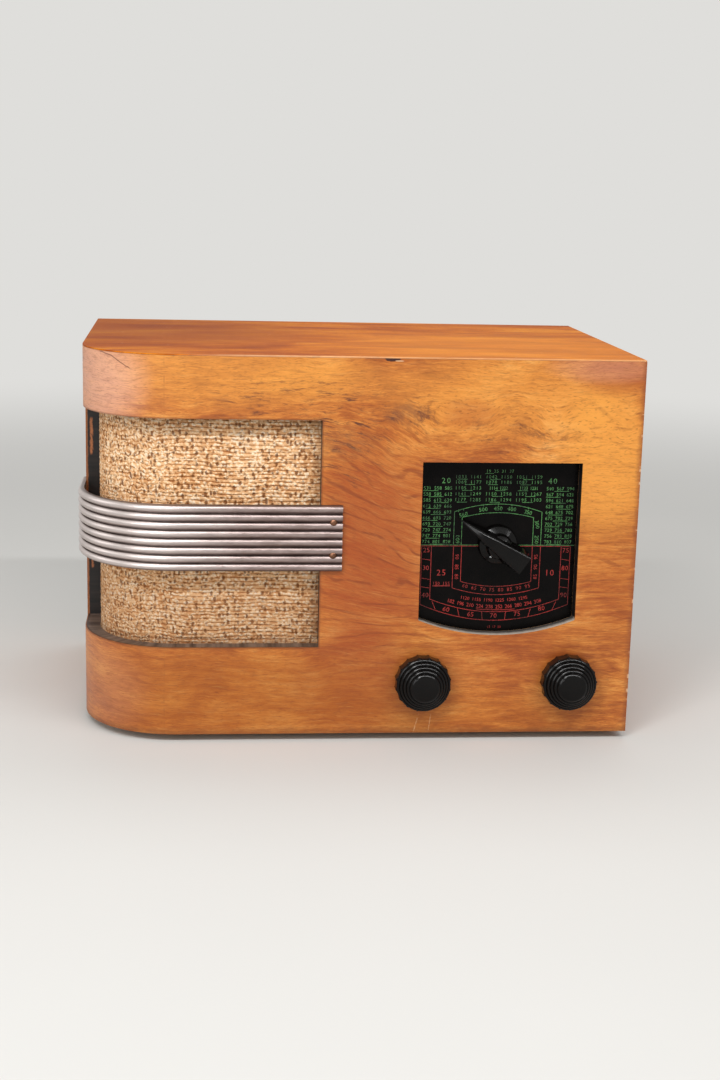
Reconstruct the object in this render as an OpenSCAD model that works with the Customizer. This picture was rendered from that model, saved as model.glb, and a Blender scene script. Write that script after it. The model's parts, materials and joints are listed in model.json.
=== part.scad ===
// Table radio receiver in a veneered plywood cabinet with one bent front corner.
// X runs to the right, Y to the back and Z up, in millimetres.
// The origin is the middle of the bounding box, on the surface that the feet stand on.
// Inside the modules, places are measured in the cabinet's own frame: X from the middle of
// its width, Y from its front face and Z from its underside, above the feet.

/* [Cabinet] */
// Outside width of the wooden cabinet
cabinet_w = 350; // [348:1:420]
// Height of the wooden cabinet, without its feet
cabinet_h = 241; // [236:1:290]
// Outside depth of the wooden cabinet
cabinet_d = 230; // [228:1:290]
// Outside radius of the bent front corner
corner_r = 60; // [45:1:62]
// Thickness of the plywood walls
wall_t = 10; // [8:0.5:12]
// Thickness of the veneer sheet that covers the top
veneer_t = 1; // [0.6:0.1:2]
// Height of a rubber foot
foot_h = 5; // [4:0.5:12]
// Diameter of a rubber foot at the cabinet
foot_d = 18; // [14:1:24]
// Distance of a foot's axis from the sides of the cabinet
foot_inset = 44; // [41:1:60]

/* [Grille] */
// Width of the wooden front to the right of the grille opening
panel_w = 201; // [200:1:215]
// Length of the grille opening along the left side, from the front face
grille_side = 80; // [70:1:100]
// Height of the grille opening's lower edge above the cabinet's underside
grille_z = 57; // [50:1:60]
// Height of the wooden front above the grille opening
top_rail = 39.5; // [34:0.5:60]
// Thickness of the grille cloth
cloth_t = 1.5; // [1:0.1:2]
// Thickness of the former that the cloth is stretched over
former_t = 3; // [2:0.5:4]

/* [Trim band] */
// Number of ribs on the trim band
rib_count = 8; // [6:1:10]
// Distance from one rib to the next
rib_pitch = 5.25; // [4.5:0.05:6]
// How far the trim band stands out of the cabinet
band_proud = 3.7; // [3:0.1:6]
// Height of the band's middle above the cabinet's underside
band_z = 127.7; // [110:0.1:150]
// How far the band runs past the grille opening at both ends
band_lap = 13.5; // [12:0.5:20]

/* [Dial] */
// Distance from the dial's middle to the cabinet's right side
dial_from_right = 87.6; // [86:0.1:95]
// Width of the dial window
dial_w = 100.8; // [90:0.1:104]
// Height of the dial window's lower corners above the cabinet's underside
dial_z = 74.5; // [68:0.5:80]
// Height of the dial window's straight sides
dial_h = 101.5; // [95:0.5:120]
// How far the window's lower edge bows down in the middle
dial_sag = 9.8; // [4:0.1:16]
// Thickness of the dial glass
glass_t = 2; // [1.5:0.1:3]
// Height of the tuning shaft above the cabinet's underside
tuning_z = 122; // [118:0.5:128]
// Length of the pointer knob from its axis to its tip
pointer_tip = 31; // [26:0.5:38]
// Length of the pointer knob from its axis to its tail
pointer_tail = 18.5; // [14:0.5:22]
// Angle of the pointer above the left horizontal at rest
pointer_angle = 34.5; // [0:0.5:90]

/* [Knobs] */
// Diameter of the two round knobs
knob_d = 36; // [30:0.5:42]
// How far the round knobs stand out of the front
knob_out = 20; // [17:0.5:26]
// Height of the two round knobs above the cabinet's underside
knob_z = 35; // [33:0.5:40]
// Distance between the two round knobs
knob_pitch = 94; // [84:1:96]
// Number of flutes round a knob
flute_count = 16; // [12:1:24]
// Diameter of the control shafts
shaft_d = 6; // [5:0.1:6.5]

/* [Chassis] */
// Height of the steel chassis
chassis_h = 70; // [66:0.5:74]
// Gap between the chassis and the cabinet's right side
chassis_side = 7; // [5:0.5:9]
// Room between the cabinet's front wall and the chassis
front_room = 30; // [28:0.5:32]
// Room between the chassis and the back panel
rear_room = 18; // [16:0.5:20]
// Thickness of the chassis sheet
sheet_t = 1.5; // [1:0.1:2]
// Largest diameter of a valve's glass
valve_d = 31; // [26:0.5:31]
// Height of a valve's glass above its base
valve_h = 72; // [60:1:90]

/* [Speaker] */
// How much narrower the speaker is than the grille opening
speaker_margin = 17; // [15:1:23]
// Depth of the speaker's basket
basket_depth = 52; // [44:1:58]
// Thickness of the speaker baffle
baffle_t = 8; // [6:0.5:10]

/* [Hidden] */
$fn = 72;

// Overshoot of a cut past the surface that it opens
cut = 1;
// Gap between a screw or pin and its hole
fit = 0.05;
// Gap between curved pieces that lie against each other
curve_gap = 0.1;
// Gap between a moving piece and a fixed one beside it
run_gap = 0.4;
// Radial play of a shaft in its bearing
bearing_play = 0.05;

// Inner faces of the cabinet
left_in = -cabinet_w / 2 + wall_t;
right_in = cabinet_w / 2 - wall_t;
top_in = cabinet_h - veneer_t - wall_t;

// Back panel, set in from the cabinet's rear edge and screwed to the battens
back_inset = 4;
back_t = 3;
batten = 12;
back_y = cabinet_d - back_inset - back_t;
batten_places = [wall_t, top_in - batten];
corner_block = 10;

// Wood screws: shank radius, head radius, head height and pilot hole allowance
screw_r = 1.5;
screw_head_r = 3.2;
screw_head_h = 1.8;
slot_w = 0.8;
slot_depth = 0.8;
foot_screw_l = 8;
foot_taper = 1;
foot_web = 2.4;
back_screw_l = 11;
clip_screw_l = 9.5;
baffle_screw_l = 17;

// Machine bolts: shank radius, head radius and height, nut radius and height
bolt_r = 2;
bolt_head_r = 3.6;
bolt_head_h = 2.4;
nut_r = 4.2;
nut_h = 3;

// Grille cloth, its former and the speaker board behind them
grille_w = cabinet_w - panel_w;
grille_h = cabinet_h - grille_z - top_rail;
grille_right = -cabinet_w / 2 + grille_w;
tuck = 14;
window_margin = 2;
cloth_in = wall_t + curve_gap;
former_in = cloth_in + cloth_t + curve_gap;
former_back = former_in + former_t;
baffle_side = 3;
baffle_room = 19.3;
baffle_y = former_back + baffle_room;
speaker_d = grille_w - speaker_margin;
baffle_w = speaker_d + 2 * baffle_side;
speaker_x = grille_right + tuck - baffle_w / 2;
speaker_z = grille_z + grille_h / 2;
baffle_screw_in = 10;

// Trim band and its nails
band_h = rib_count * rib_pitch;
rib_gap = 0.35;
rib_r = (rib_pitch - rib_gap) / 2;
band_base_t = 1.2;
band_end = grille_right + band_lap;
band_back = grille_side + band_lap;
nail_lap = 7.8;
nail_r = 0.9;
nail_head_r = 2;
nail_l = 7;
nail_grooves = [-2, 2];

// Dial
dial_x = cabinet_w / 2 - dial_from_right;
dial_arc_r = (pow(dial_w / 2, 2) + pow(dial_sag, 2)) / (2 * dial_sag);
glass_margin = 4;
backplate_t = 1;
dial_hole_r = 5;
clip_foot = 9;
clip_lip = 4;
clip_h = 12;
clip_t = 1.2;
clip_gap = 0.5;
clip_up = 14;
glass_low = dial_z - dial_sag - glass_margin;
glass_high = dial_z + dial_h + glass_margin;
glass_half = dial_w / 2 + glass_margin;
backplate_y = wall_t + glass_t;
clip_back = backplate_y + backplate_t + clip_t;
function clip_x(side) = dial_x + side * (glass_half + clip_gap + clip_foot / 2);

// Dial lamps, their holders and brackets
lamp_r = 5;
lamp_hole_r = 7;
lamp_dx = 36;
lamp_drop = 20;
lamp_len = 14;
lamp_gap = 2;
lamp_x = [dial_x - lamp_dx, dial_x + lamp_dx];
lamp_z = dial_z + dial_h - lamp_drop;
holder_r = 6;
holder_l = 12;
bracket_w = 8;
bracket_t = 1;
bracket_y = backplate_y + backplate_t;

// Chassis, placed between the speaker board and the cabinet's right side
chassis_gap = 4;
chassis_x = speaker_x + baffle_w / 2 + chassis_gap;
chassis_y = wall_t + front_room;
chassis_z = wall_t;
chassis_w = right_in - chassis_side - chassis_x;
chassis_d = back_y - rear_room - chassis_y;
chassis_top = chassis_z + chassis_h;
chassis_back = chassis_y + chassis_d;
tab = 14;
tab_in = 9;

// Tuning capacitor: two gangs of vanes in a steel frame
shaft_r = shaft_d / 2;
cap_in = 16;
cap_y = chassis_y + cap_in;
cap_half_w = 25;
cap_plate_t = 3;
cap_len = 58;
cap_above = 27;
cap_below = 35;
cap_foot_r = 5;
gang_vanes = 5;
vane_t = 0.8;
vane_pitch = 3.2;
vane_r = 24;
hub_r = 5.5;
gang_in = 5;
gang_gap = 6;
gang_len = gang_vanes * vane_pitch + vane_t;
gang_start = cap_y + cap_plate_t + gang_in;
gang_y = [gang_start, gang_start + gang_len + gang_gap];
stator_gap = 1.3;
stator_in_r = hub_r + stator_gap;
stator_rim = 1;
stator_half_w = 16;
rod_r = 1.5;
rod_x = 10;
rod_drop = 28.5;
stator_drop = 31.5;
insulator_t = 3;
insulator_top = 25;
tuning_past = 4;
tuning_end = cap_y + cap_len + tuning_past;

// Pointer knob, drawn forwards from just in front of the glass
pointer_gap = 0.8;
pointer_base_y = wall_t - pointer_gap;
pointer_steps = [[12, 2.7], [9.5, 6.2], [7, 12]];
pointer_bar = [4, 17];
pointer_bar_t = 0.05;
pointer_bore = 11;
pointer_tip_half = 1;
pointer_tip_lean = 5;
pointer_boss_half = 6.5;
pointer_tail_half = 7.5;
pointer_edge_half = 0.3;
pointer_ridge_half = 3.8;
pointer_grub_z = (pointer_steps[0][1] + pointer_steps[1][1]) / 2;
pointer_grub_l = 9;
grub_r = 1.2;

// Round knobs, drawn forwards from the front face
knob_gap = 1;
knob_skirt = 0.48;
knob_bore = 14;
knob_rings = 4;
knob_ring_in = 1;
knob_ring_step = 1.9;
knob_dome_r = 9;
flute_r = 12;
flute_depth = 0.8;
knob_x = [dial_x - knob_pitch / 2, dial_x + knob_pitch / 2];
panel_hole_r = 5;
knob_grub_out = 6;
knob_grub_in = 2;

// Volume control and wave switch behind the chassis front
bush_r = 4.7;
bush_out = 9;
apron_hole_r = 4.8;
control_nut_r = 8;
control_nut_h = 3;
pot_r = 16;
pot_l = 16;
pot_wall = 1.5;
pot_switch_r = 11;
pot_switch_l = 9;
wiper_r = 12;
wiper_t = 2;
wafer_r = 17;
wafer_t = 1.6;
wafer_at = [14, 30];
wafer_hole_r = 9;
wafer_rotor_r = 8.5;
wafer_notch = [5, 2];
detent_t = 3;
detent_r = 13;
detent_arm = 6;
spacer_r = 2;
spacer_x = 13;
switch_l = 36;

// Valves: places on the chassis from its left front corner, and 1 for a top cap
valves = [[51, 26, 1], [18, 56, 1], [18, 128, 1], [51, 96, 0], [86, 114, 0]];
socket_r = 16;
socket_t = 4;
socket_low_r = 11;
socket_low = 8;
base_r = 14.5;
base_h = 24;
glass_wall = 1;
cap_r = 4.5;
cap_h = 7;
bulb_neck = 3;
mica_in = 3;
mica_t = 0.8;
mica_at = [0.2, 0.6];
anode_r = 8;
stem_r = 4;

// Coil cans, smoothing capacitors and the mains transformer on the chassis
square_cans = [[18, 20], [18, 92]];
can_side = 29;
can_h = 74;
can_round = 3;
round_cans = [[145, 22, 17, 58], [145, 66, 15, 48]];
can_wall = 0.8;
smoothing = [[51, 61], [51, 132]];
smoothing_r = 12.5;
smoothing_h = 66;
smoothing_lid = [9.5, 1];
core_at = [104, 118];
core_size = [60, 30, 52];
core_middle = [core_at[0] + core_size[0] / 2, core_at[1] + core_size[1] / 2, core_size[2] / 2];
core_limb = 20;
core_window = [11, 30];
winding_out = 9;
winding_gap = 0.3;

// Speaker
gasket_t = 1.2;
surround_t = 0.8;
flange_t = 2;
flange_w = 11;
speaker_y = baffle_y + baffle_t;
speaker_r = speaker_d / 2;
flange_y = gasket_t + surround_t;
basket_in = speaker_r - flange_w;
basket_back_r = 33;
basket_wall = 2.4;
basket_hole_r = 11.5;
basket_window_r = 14;
surround_w = 3;
cone_r = basket_in - surround_w;
cone_t = 0.8;
coil_r = 10.6;
coil_in_r = 9.7;
pole_r = 9;
cone_front = flange_y + run_gap;
cone_drop = 13;
cone_back = basket_depth - cone_drop;
dust_cap_in = 4;
dust_cap_y = cone_back - dust_cap_in;
coil_short = 2;
spider_in = 8;
spider_gap = 0.3;
spider_y = basket_depth - spider_in;
yoke_y = flange_y + basket_depth;
yoke_w = 48;
yoke_h = 64;
yoke_t = 6;
yoke_l = 48;
plate_hole_r = 11.3;
field_r = 22.5;
bolt_circle_in = 4.3;
bolt_circle_r = speaker_r - bolt_circle_in;
output_core = [40, 16, 34];
output_winding = [24, 32, 20.4];
lead_r = 2;
lead_bend = 8;
lead_drop = 8;
lead_z = speaker_z + (yoke_h + output_core[2]) / 2;
lead_y = speaker_y + yoke_y + yoke_l / 2 + lead_r;
lead_x = chassis_x + square_cans[1][0] + can_side / 2 + 2 * lead_r;

// Inner radius of the basket at the spider
spider_r = basket_in - (basket_in - basket_back_r + basket_wall)
    * (spider_y + surround_t - flange_y) / (yoke_y - basket_wall - flange_y) - spider_gap;

// Radius at which the dust cap meets the inside of the cone
dust_cap_r = coil_r + fit + (cone_r - cone_t - coil_r - fit)
    * (cone_back - dust_cap_y) / (cone_back - cone_t - cone_front) - curve_gap;

// Tag board under the chassis
board_at = [20, 96];
board_size = [118, 36, 2];
board_drop = 26;
post_r = 3;
resistor_r = 3;
resistor_l = 16;
resistor_pitch = 18;
resistor_at = [14, 8];
resistor_count = 5;
paper_r = 6;
paper_l = 34;
paper_gap = 3;
paper_in = 4;
paper_count = 3;

// Rear of the chassis
strip_at = [14, 32];
strip_size = [56, 22, 3];
socket_bore_r = 2;
plug_socket_r = 3.5;
plug_socket_l = 14;
plug_socket_out = 1;
plug_collar_r = 5;
plug_pitch = 28;
plug_z = strip_at[1] + strip_size[1] / 2;
function plug_x(i) = chassis_x + strip_at[0] + strip_size[0] / 2 + (i - 0.5) * plug_pitch;
selector_at = [96, 43];
selector_r = 13;
selector_h = 5;
selector_cap_r = 8;
selector_cap_h = 2;
grommet_at = [146, 26];
grommet_r = 8;
grommet_bore_r = 3.5;
grommet_side = 2;
panel_cut = 6;
vent_r = 3.5;
vent_pitch = 13;
vent_rows = 5;
vent_columns = 21;

// Places that share a fastener
foot_places = [for (x = [-1, 1], y = [foot_inset, cabinet_d - foot_inset])
    [x * (cabinet_w / 2 - foot_inset), y]];
back_screw_places = [for (x = [left_in + batten / 2, right_in - batten / 2],
    z = [wall_t + 3 * batten, cabinet_h / 2, top_in - 3 * batten]) [x, z]];
clip_places = [for (s = [-1, 1], z = [dial_z + clip_up, dial_z + dial_h - clip_up]) [s, z]];
baffle_screw_places = [for (s = [-1, 1], z = [wall_t + batten / 2, top_in - batten / 2])
    [speaker_x + s * (baffle_w / 2 - baffle_screw_in), z]];
chassis_bolt_places = [for (x = [tab_in, chassis_w - tab_in], y = [tab_in, chassis_d - tab_in])
    [chassis_x + x, chassis_y + y]];
nail_front = [for (g = nail_grooves) [grille_right + nail_lap, band_z + g * rib_pitch]];
nail_side = [for (g = nail_grooves) [grille_side + nail_lap, band_z + g * rib_pitch]];

// Moves the cabinet's own frame into the part's frame
module at_cabinet()
    translate([band_proud / 2, (knob_out - cabinet_d) / 2, foot_h]) children();

// Turns a piece's Z axis to the back, its Y axis pointing down
module facing_back(place) translate(place) rotate([-90, 0, 0]) children();

// Turns a piece's Z axis to the front, its Y axis pointing up
module facing_front(place) translate(place) rotate([90, 0, 0]) children();

// A block between two opposite corners
module block(low, high) translate(low) cube(high - low);

// A round hole from a depth below zero up to a height
module hole(r, low, high) translate([0, 0, low]) cylinder(r = r, h = high - low);

// A ring with a straight bore
module ring(outer, inner, h) difference() {
    cylinder(r = outer, h = h);
    hole(inner, -cut, h + cut);
}

// A slotted screw: its head lies below zero and its shank above
module screw(r, head_r, head_h, length) {
    difference() {
        translate([0, 0, -head_h]) cylinder(r = head_r, h = head_h);
        translate([-head_r - cut, -slot_w / 2, -head_h - cut])
            cube([2 * (head_r + cut), slot_w, slot_depth + cut]);
    }
    cylinder(r = r, h = length);
}

module wood_screw(length) screw(screw_r, screw_head_r, screw_head_h, length);

// Plan of the cabinet, drawn in by an inset, with its left front corner rounded
module plan(inset, depth) {
    left = -cabinet_w / 2 + inset;
    right = cabinet_w / 2 - inset;
    round_r = corner_r - inset;
    translate([left + round_r, inset]) square([right - left - round_r, depth - inset]);
    translate([left, inset + round_r]) square([round_r + cut, depth - inset - round_r]);
    translate([left + round_r, inset + round_r]) circle(r = round_r);
}

// A curved sheet that follows the front and the left side, up to a border round the grille
module curved_sheet(inset, thick, border)
    translate([0, 0, grille_z - border]) linear_extrude(grille_h + 2 * border)
        intersection() {
            difference() {
                plan(inset, cabinet_d);
                plan(inset + thick, cabinet_d + cut);
            }
            translate([-cabinet_w / 2, 0])
                square([grille_w + border, grille_side + border]);
        }

// The space that the grille opening takes, grown by a margin
module grille_opening(margin)
    block([-cabinet_w / 2 - cut, -cut, grille_z - margin],
        [grille_right + margin, grille_side + margin, grille_z + grille_h + margin]);

// Outline of the dial window: straight sides and a bowed lower edge
module window_outline() intersection() {
    translate([-dial_w / 2, dial_z - dial_sag]) square([dial_w, dial_h + dial_sag]);
    translate([0, dial_z - dial_sag + dial_arc_r]) circle(r = dial_arc_r);
}

// Bent plywood front with the rounded corner and the left side in one piece
module front_wrap() at_cabinet() color("#cd823c") difference() {
    linear_extrude(cabinet_h - veneer_t) difference() {
        plan(0, cabinet_d);
        plan(wall_t, cabinet_d + cut);
        translate([right_in - cut, wall_t]) square([wall_t + 2 * cut, cabinet_d]);
    }
    grille_opening(0);
    facing_front([dial_x, wall_t + cut, 0]) linear_extrude(wall_t + 2 * cut) window_outline();
    for (x = knob_x) facing_front([x, wall_t, knob_z]) hole(panel_hole_r, -cut, wall_t + cut);
    for (p = nail_front) facing_back([p[0], 0, p[1]]) hole(nail_r + fit, -cut, nail_l);
    for (p = nail_side)
        translate([-cabinet_w / 2, p[0], p[1]]) rotate([0, 90, 0]) hole(nail_r + fit, -cut, nail_l);
    for (p = clip_places) facing_front([clip_x(p[0]), wall_t, p[1]])
        hole(screw_r + fit, -cut, clip_screw_l - glass_t - backplate_t - clip_t + fit);
}

module right_side() at_cabinet() color("#c67b38")
    block([right_in, wall_t, 0], [cabinet_w / 2, cabinet_d, cabinet_h - veneer_t]);

module top_board() at_cabinet() color("#b9793f")
    translate([0, 0, top_in]) linear_extrude(wall_t) plan(wall_t, cabinet_d);

module top_veneer() at_cabinet() color("#c87841")
    translate([0, 0, cabinet_h - veneer_t]) linear_extrude(veneer_t) plan(0, cabinet_d);

module bottom_board() at_cabinet() color("#a5703c") difference() {
    linear_extrude(wall_t) plan(wall_t, cabinet_d);
    for (p = foot_places) translate([p[0], p[1], 0]) hole(screw_r + fit, -cut, foot_screw_l);
    for (p = chassis_bolt_places) translate([p[0], p[1], 0]) {
        hole(bolt_r + fit, -cut, wall_t + cut);
        hole(bolt_head_r + fit, -cut, bolt_head_h);
    }
}

// Separate battens glued into the cabinet: round the back, in a corner and behind the baffle
module battens() at_cabinet() color("#b98a52") difference() {
    union() {
        for (x = [left_in, right_in - batten])
            block([x, back_y - batten, wall_t + batten + fit],
                [x + batten, back_y, top_in - batten - fit]);
        for (z = batten_places)
            block([left_in, back_y - batten, z], [right_in, back_y, z + batten]);
        block([right_in - corner_block, wall_t, wall_t],
            [right_in, wall_t + corner_block, top_in]);
        for (z = batten_places)
            block([speaker_x - baffle_w / 2, baffle_y + baffle_t, z],
                [speaker_x + baffle_w / 2, baffle_y + baffle_t + batten, z + batten]);
    }
    for (p = back_screw_places)
        facing_front([p[0], back_y, p[1]]) hole(screw_r + fit, -cut, back_screw_l - back_t + fit);
    for (p = baffle_screw_places)
        facing_back([p[0], baffle_y, p[1]]) hole(screw_r + fit, 0, baffle_screw_l + fit);
}

// Perforated fibre panel that closes the back, cut out behind the sockets
module back_panel() at_cabinet() color("#6b4a2e") difference() {
    block([left_in + fit, back_y, wall_t + fit], [right_in - fit, back_y + back_t, top_in - fit]);
    for (p = back_screw_places)
        facing_back([p[0], back_y, p[1]]) hole(screw_r + fit, -cut, back_t + cut);
    block([chassis_x + strip_at[0] - panel_cut, back_y - cut, strip_at[1] - panel_cut],
        [chassis_x + strip_at[0] + strip_size[0] + panel_cut, back_y + back_t + cut,
        strip_at[1] + strip_size[1] + panel_cut]);
    facing_back([chassis_x + selector_at[0], back_y, selector_at[1]])
        hole(selector_r + panel_cut / 2, -cut, back_t + cut);
    facing_back([chassis_x + grommet_at[0], back_y, grommet_at[1]])
        hole(grommet_r, -cut, back_t + cut);
    for (i = [0:vent_columns - 1], j = [0:vent_rows - 1])
        facing_back([(i - (vent_columns - 1) / 2) * vent_pitch, back_y,
            top_in - 3 * batten - j * vent_pitch]) hole(vent_r, -cut, back_t + cut);
}

module rubber_feet() at_cabinet() color("#1d1b1a")
    for (p = foot_places) translate([p[0], p[1], -foot_h]) difference() {
        cylinder(r1 = foot_d / 2 - foot_taper, r2 = foot_d / 2, h = foot_h);
        hole(screw_r + fit, 0, foot_h + cut);
        hole(screw_head_r + curve_gap, -cut, foot_h - foot_web);
    }

module wood_screws() at_cabinet() color("#9a8b66") {
    for (p = foot_places)
        translate([p[0], p[1], -foot_web]) wood_screw(foot_screw_l + foot_web - fit);
    for (p = back_screw_places) facing_front([p[0], back_y + back_t, p[1]]) wood_screw(back_screw_l);
    for (p = clip_places)
        facing_front([clip_x(p[0]), clip_back, p[1]]) wood_screw(clip_screw_l);
    for (p = baffle_screw_places)
        facing_back([p[0], baffle_y, p[1]]) wood_screw(baffle_screw_l);
}

module grille_cloth() at_cabinet() color("#e1be8c") curved_sheet(cloth_in, cloth_t, tuck);

module cloth_former() at_cabinet() color("#9c7a52") difference() {
    curved_sheet(former_in, former_t, tuck);
    grille_opening(window_margin);
}

// Board that carries the speaker behind the grille
module speaker_baffle() at_cabinet() color("#8d6a43") difference() {
    block([speaker_x - baffle_w / 2, baffle_y, wall_t],
        [speaker_x + baffle_w / 2, baffle_y + baffle_t, top_in]);
    facing_back([speaker_x, baffle_y, speaker_z]) hole(basket_in, -cut, baffle_t + cut);
    for (p = baffle_screw_places)
        facing_back([p[0], baffle_y, p[1]]) hole(screw_r + fit, -cut, baffle_t + cut);
    facing_back([speaker_x, baffle_y, speaker_z])
        on_bolt_circle() hole(bolt_r + fit, -cut, baffle_t + cut);
}

// Section of the band: half-round ribs on a flat strip, X pointing out of the cabinet
module band_section() intersection() {
    translate([0, -band_h / 2]) square([band_proud, band_h]);
    union() {
        translate([0, -band_h / 2]) square([band_base_t, band_h]);
        for (i = [0:rib_count - 1])
            translate([band_proud - rib_r, (i + 0.5) * rib_pitch - band_h / 2]) circle(r = rib_r);
    }
}

// Ribbed aluminium moulding that runs round the corner over the grille
module trim_band() at_cabinet() color("#c9c9cb") difference() {
    union() {
        translate([band_end, 0, band_z]) rotate([90, 0, -90])
            linear_extrude(band_end + cabinet_w / 2 - corner_r) band_section();
        translate([-cabinet_w / 2 + corner_r, corner_r, band_z]) rotate([0, 0, 180])
            rotate_extrude(angle = 90) translate([corner_r, 0]) band_section();
        translate([-cabinet_w / 2, corner_r, band_z]) rotate([90, 0, 180])
            linear_extrude(band_back - corner_r) band_section();
    }
    for (p = nail_front)
        facing_back([p[0], 0, p[1]]) hole(nail_r + fit, -band_proud - cut, cut);
    for (p = nail_front)
        facing_back([p[0], 0, p[1]]) hole(nail_head_r + fit, -band_proud - cut, -band_base_t);
    for (p = nail_side) translate([-cabinet_w / 2, p[0], p[1]]) rotate([0, 90, 0]) {
        hole(nail_r + fit, -band_proud - cut, cut);
        hole(nail_head_r + fit, -band_proud - cut, -band_base_t);
    }
}

// A round-headed nail whose head seats on the band's flat strip
module nail() {
    cylinder(r = nail_r, h = nail_l + band_base_t - fit);
    intersection() {
        translate([0, 0, -nail_head_r]) cylinder(r = nail_head_r, h = nail_head_r);
        sphere(r = nail_head_r);
    }
}

module trim_nails() at_cabinet() color("#b08d57") {
    for (p = nail_front) facing_back([p[0], -band_base_t, p[1]]) nail();
    for (p = nail_side)
        translate([-cabinet_w / 2 - band_base_t, p[0], p[1]]) rotate([0, 90, 0]) nail();
}

// A plate behind the dial window with a hole for the tuning shaft
module dial_plate(y, thick) difference() {
    block([dial_x - glass_half, y, glass_low], [dial_x + glass_half, y + thick, glass_high]);
    facing_back([dial_x, y, tuning_z]) hole(dial_hole_r, -cut, thick + cut);
}

module dial_glass() at_cabinet() color("#0f0d0e") dial_plate(wall_t, glass_t);

module dial_backplate() at_cabinet() color("#3a3a3c") difference() {
    dial_plate(backplate_y, backplate_t);
    for (x = lamp_x)
        facing_back([x, backplate_y, lamp_z]) hole(lamp_hole_r, -cut, backplate_t + cut);
}

// Clips that press the glass and its back plate against the front
module dial_clips() at_cabinet() color("#a7a7a2")
    for (p = clip_places) difference() {
        union() {
            translate([clip_x(p[0]) - clip_foot / 2, wall_t, p[1] - clip_h / 2])
                cube([clip_foot, clip_back - wall_t, clip_h]);
            translate([clip_x(p[0]) - p[0] * (clip_foot + clip_lip) / 2, clip_back - clip_t / 2, p[1]])
                cube([clip_lip, clip_t, clip_h], center = true);
        }
        facing_back([clip_x(p[0]), wall_t, p[1]])
            hole(screw_r + fit, -cut, clip_back - wall_t + cut);
    }

// Small bulbs that light the dial from behind
module dial_lamps() at_cabinet() color("#e8e2c8")
    for (x = lamp_x) facing_back([x, bracket_y + lamp_gap, lamp_z]) {
        translate([0, 0, lamp_r]) sphere(r = lamp_r);
        translate([0, 0, lamp_r]) cylinder(r = lamp_r - cut, h = lamp_len - lamp_r);
    }

// Holders with the brackets that carry them on the back plate
module lamp_holders() at_cabinet() color("#b5a06a")
    for (x = lamp_x) {
        facing_back([x, bracket_y + lamp_gap + lamp_len, lamp_z]) cylinder(r = holder_r, h = holder_l);
        block([x - bracket_w / 2, bracket_y, lamp_z + holder_r - bracket_t],
            [x + bracket_w / 2, bracket_y + lamp_gap + lamp_len + holder_l, lamp_z + holder_r]);
        block([x - bracket_w / 2, bracket_y, lamp_z + holder_r],
            [x + bracket_w / 2, bracket_y + bracket_t, lamp_z + holder_r + bracket_w]);
    }

// Pointer knob: stepped boss behind a tapered bar with flared sides
module tuning_knob() at_cabinet() color("#141214")
    facing_front([dial_x, pointer_base_y, tuning_z]) rotate([0, 0, 180 - pointer_angle])
        difference() {
            union() {
                for (s = pointer_steps) cylinder(r = s[0], h = s[1]);
                hull() {
                    translate([0, 0, pointer_bar[0]]) linear_extrude(pointer_bar_t)
                        polygon([[pointer_tip - pointer_tip_lean, -pointer_tip_half],
                            [pointer_tip - pointer_tip_lean, pointer_tip_half],
                            [0, pointer_boss_half], [-pointer_tail, pointer_tail_half],
                            [-pointer_tail, -pointer_tail_half], [0, -pointer_boss_half]]);
                    translate([0, 0, pointer_bar[1] - pointer_bar_t]) linear_extrude(pointer_bar_t)
                        polygon([[pointer_tip, -pointer_edge_half], [pointer_tip, pointer_edge_half],
                            [-pointer_tail, pointer_ridge_half], [-pointer_tail, -pointer_ridge_half]]);
                }
            }
            hole(shaft_r + fit, -cut, pointer_bore);
            translate([0, 0, pointer_grub_z]) rotate([-90, 0, 0])
                hole(grub_r + fit, 0, pointer_steps[0][0] + cut);
        }

module tuning_grub_screw() at_cabinet() color("#8f8f8c")
    facing_front([dial_x, pointer_base_y, tuning_z]) rotate([0, 0, 180 - pointer_angle])
        translate([0, 0, pointer_grub_z]) rotate([-90, 0, 0])
            hole(grub_r, shaft_r + fit, pointer_grub_l);

module tuning_shaft() at_cabinet() color("#b9b9b6")
    facing_back([dial_x, pointer_base_y - pointer_bore + fit, tuning_z])
        cylinder(r = shaft_r, h = tuning_end - pointer_base_y + pointer_bore);

// Half-round vanes of both gangs on their hubs, turned with the pointer
module tuning_rotor() at_cabinet() color("#c4c4bf")
    for (y = gang_y) facing_back([dial_x, y, tuning_z]) rotate([0, 0, pointer_angle]) {
        ring(hub_r, shaft_r + fit, gang_len);
        for (i = [0:gang_vanes - 1])
            translate([0, 0, vane_pitch * (i + 0.5)]) difference() {
                cylinder(r = vane_r, h = vane_t);
                translate([-vane_r - cut, -2 * vane_r, -cut])
                    cube([2 * (vane_r + cut), 2 * vane_r, vane_t + 2 * cut]);
                hole(hub_r - cut, -cut, vane_t + cut);
            }
    }

// Fixed vanes of both gangs, joined by two rods
module tuning_stator() at_cabinet() color("#cfcfca") {
    for (y = gang_y, i = [0:gang_vanes])
        facing_back([dial_x, y + vane_pitch * i, tuning_z]) difference() {
            union() {
                cylinder(r = vane_r + stator_rim, h = vane_t);
                translate([-stator_half_w, 0, 0]) cube([2 * stator_half_w, stator_drop, vane_t]);
            }
            hole(stator_in_r, -cut, vane_t + cut);
            translate([-vane_r - 2 * cut, -2 * vane_r, -cut])
                cube([2 * (vane_r + 2 * cut), 2 * vane_r, vane_t + 2 * cut]);
        }
    for (s = [-1, 1])
        facing_back([dial_x + s * rod_x, cap_y + cap_plate_t + cut, tuning_z - rod_drop])
            cylinder(r = rod_r, h = cap_len - 2 * cap_plate_t - 2 * cut);
}

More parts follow.
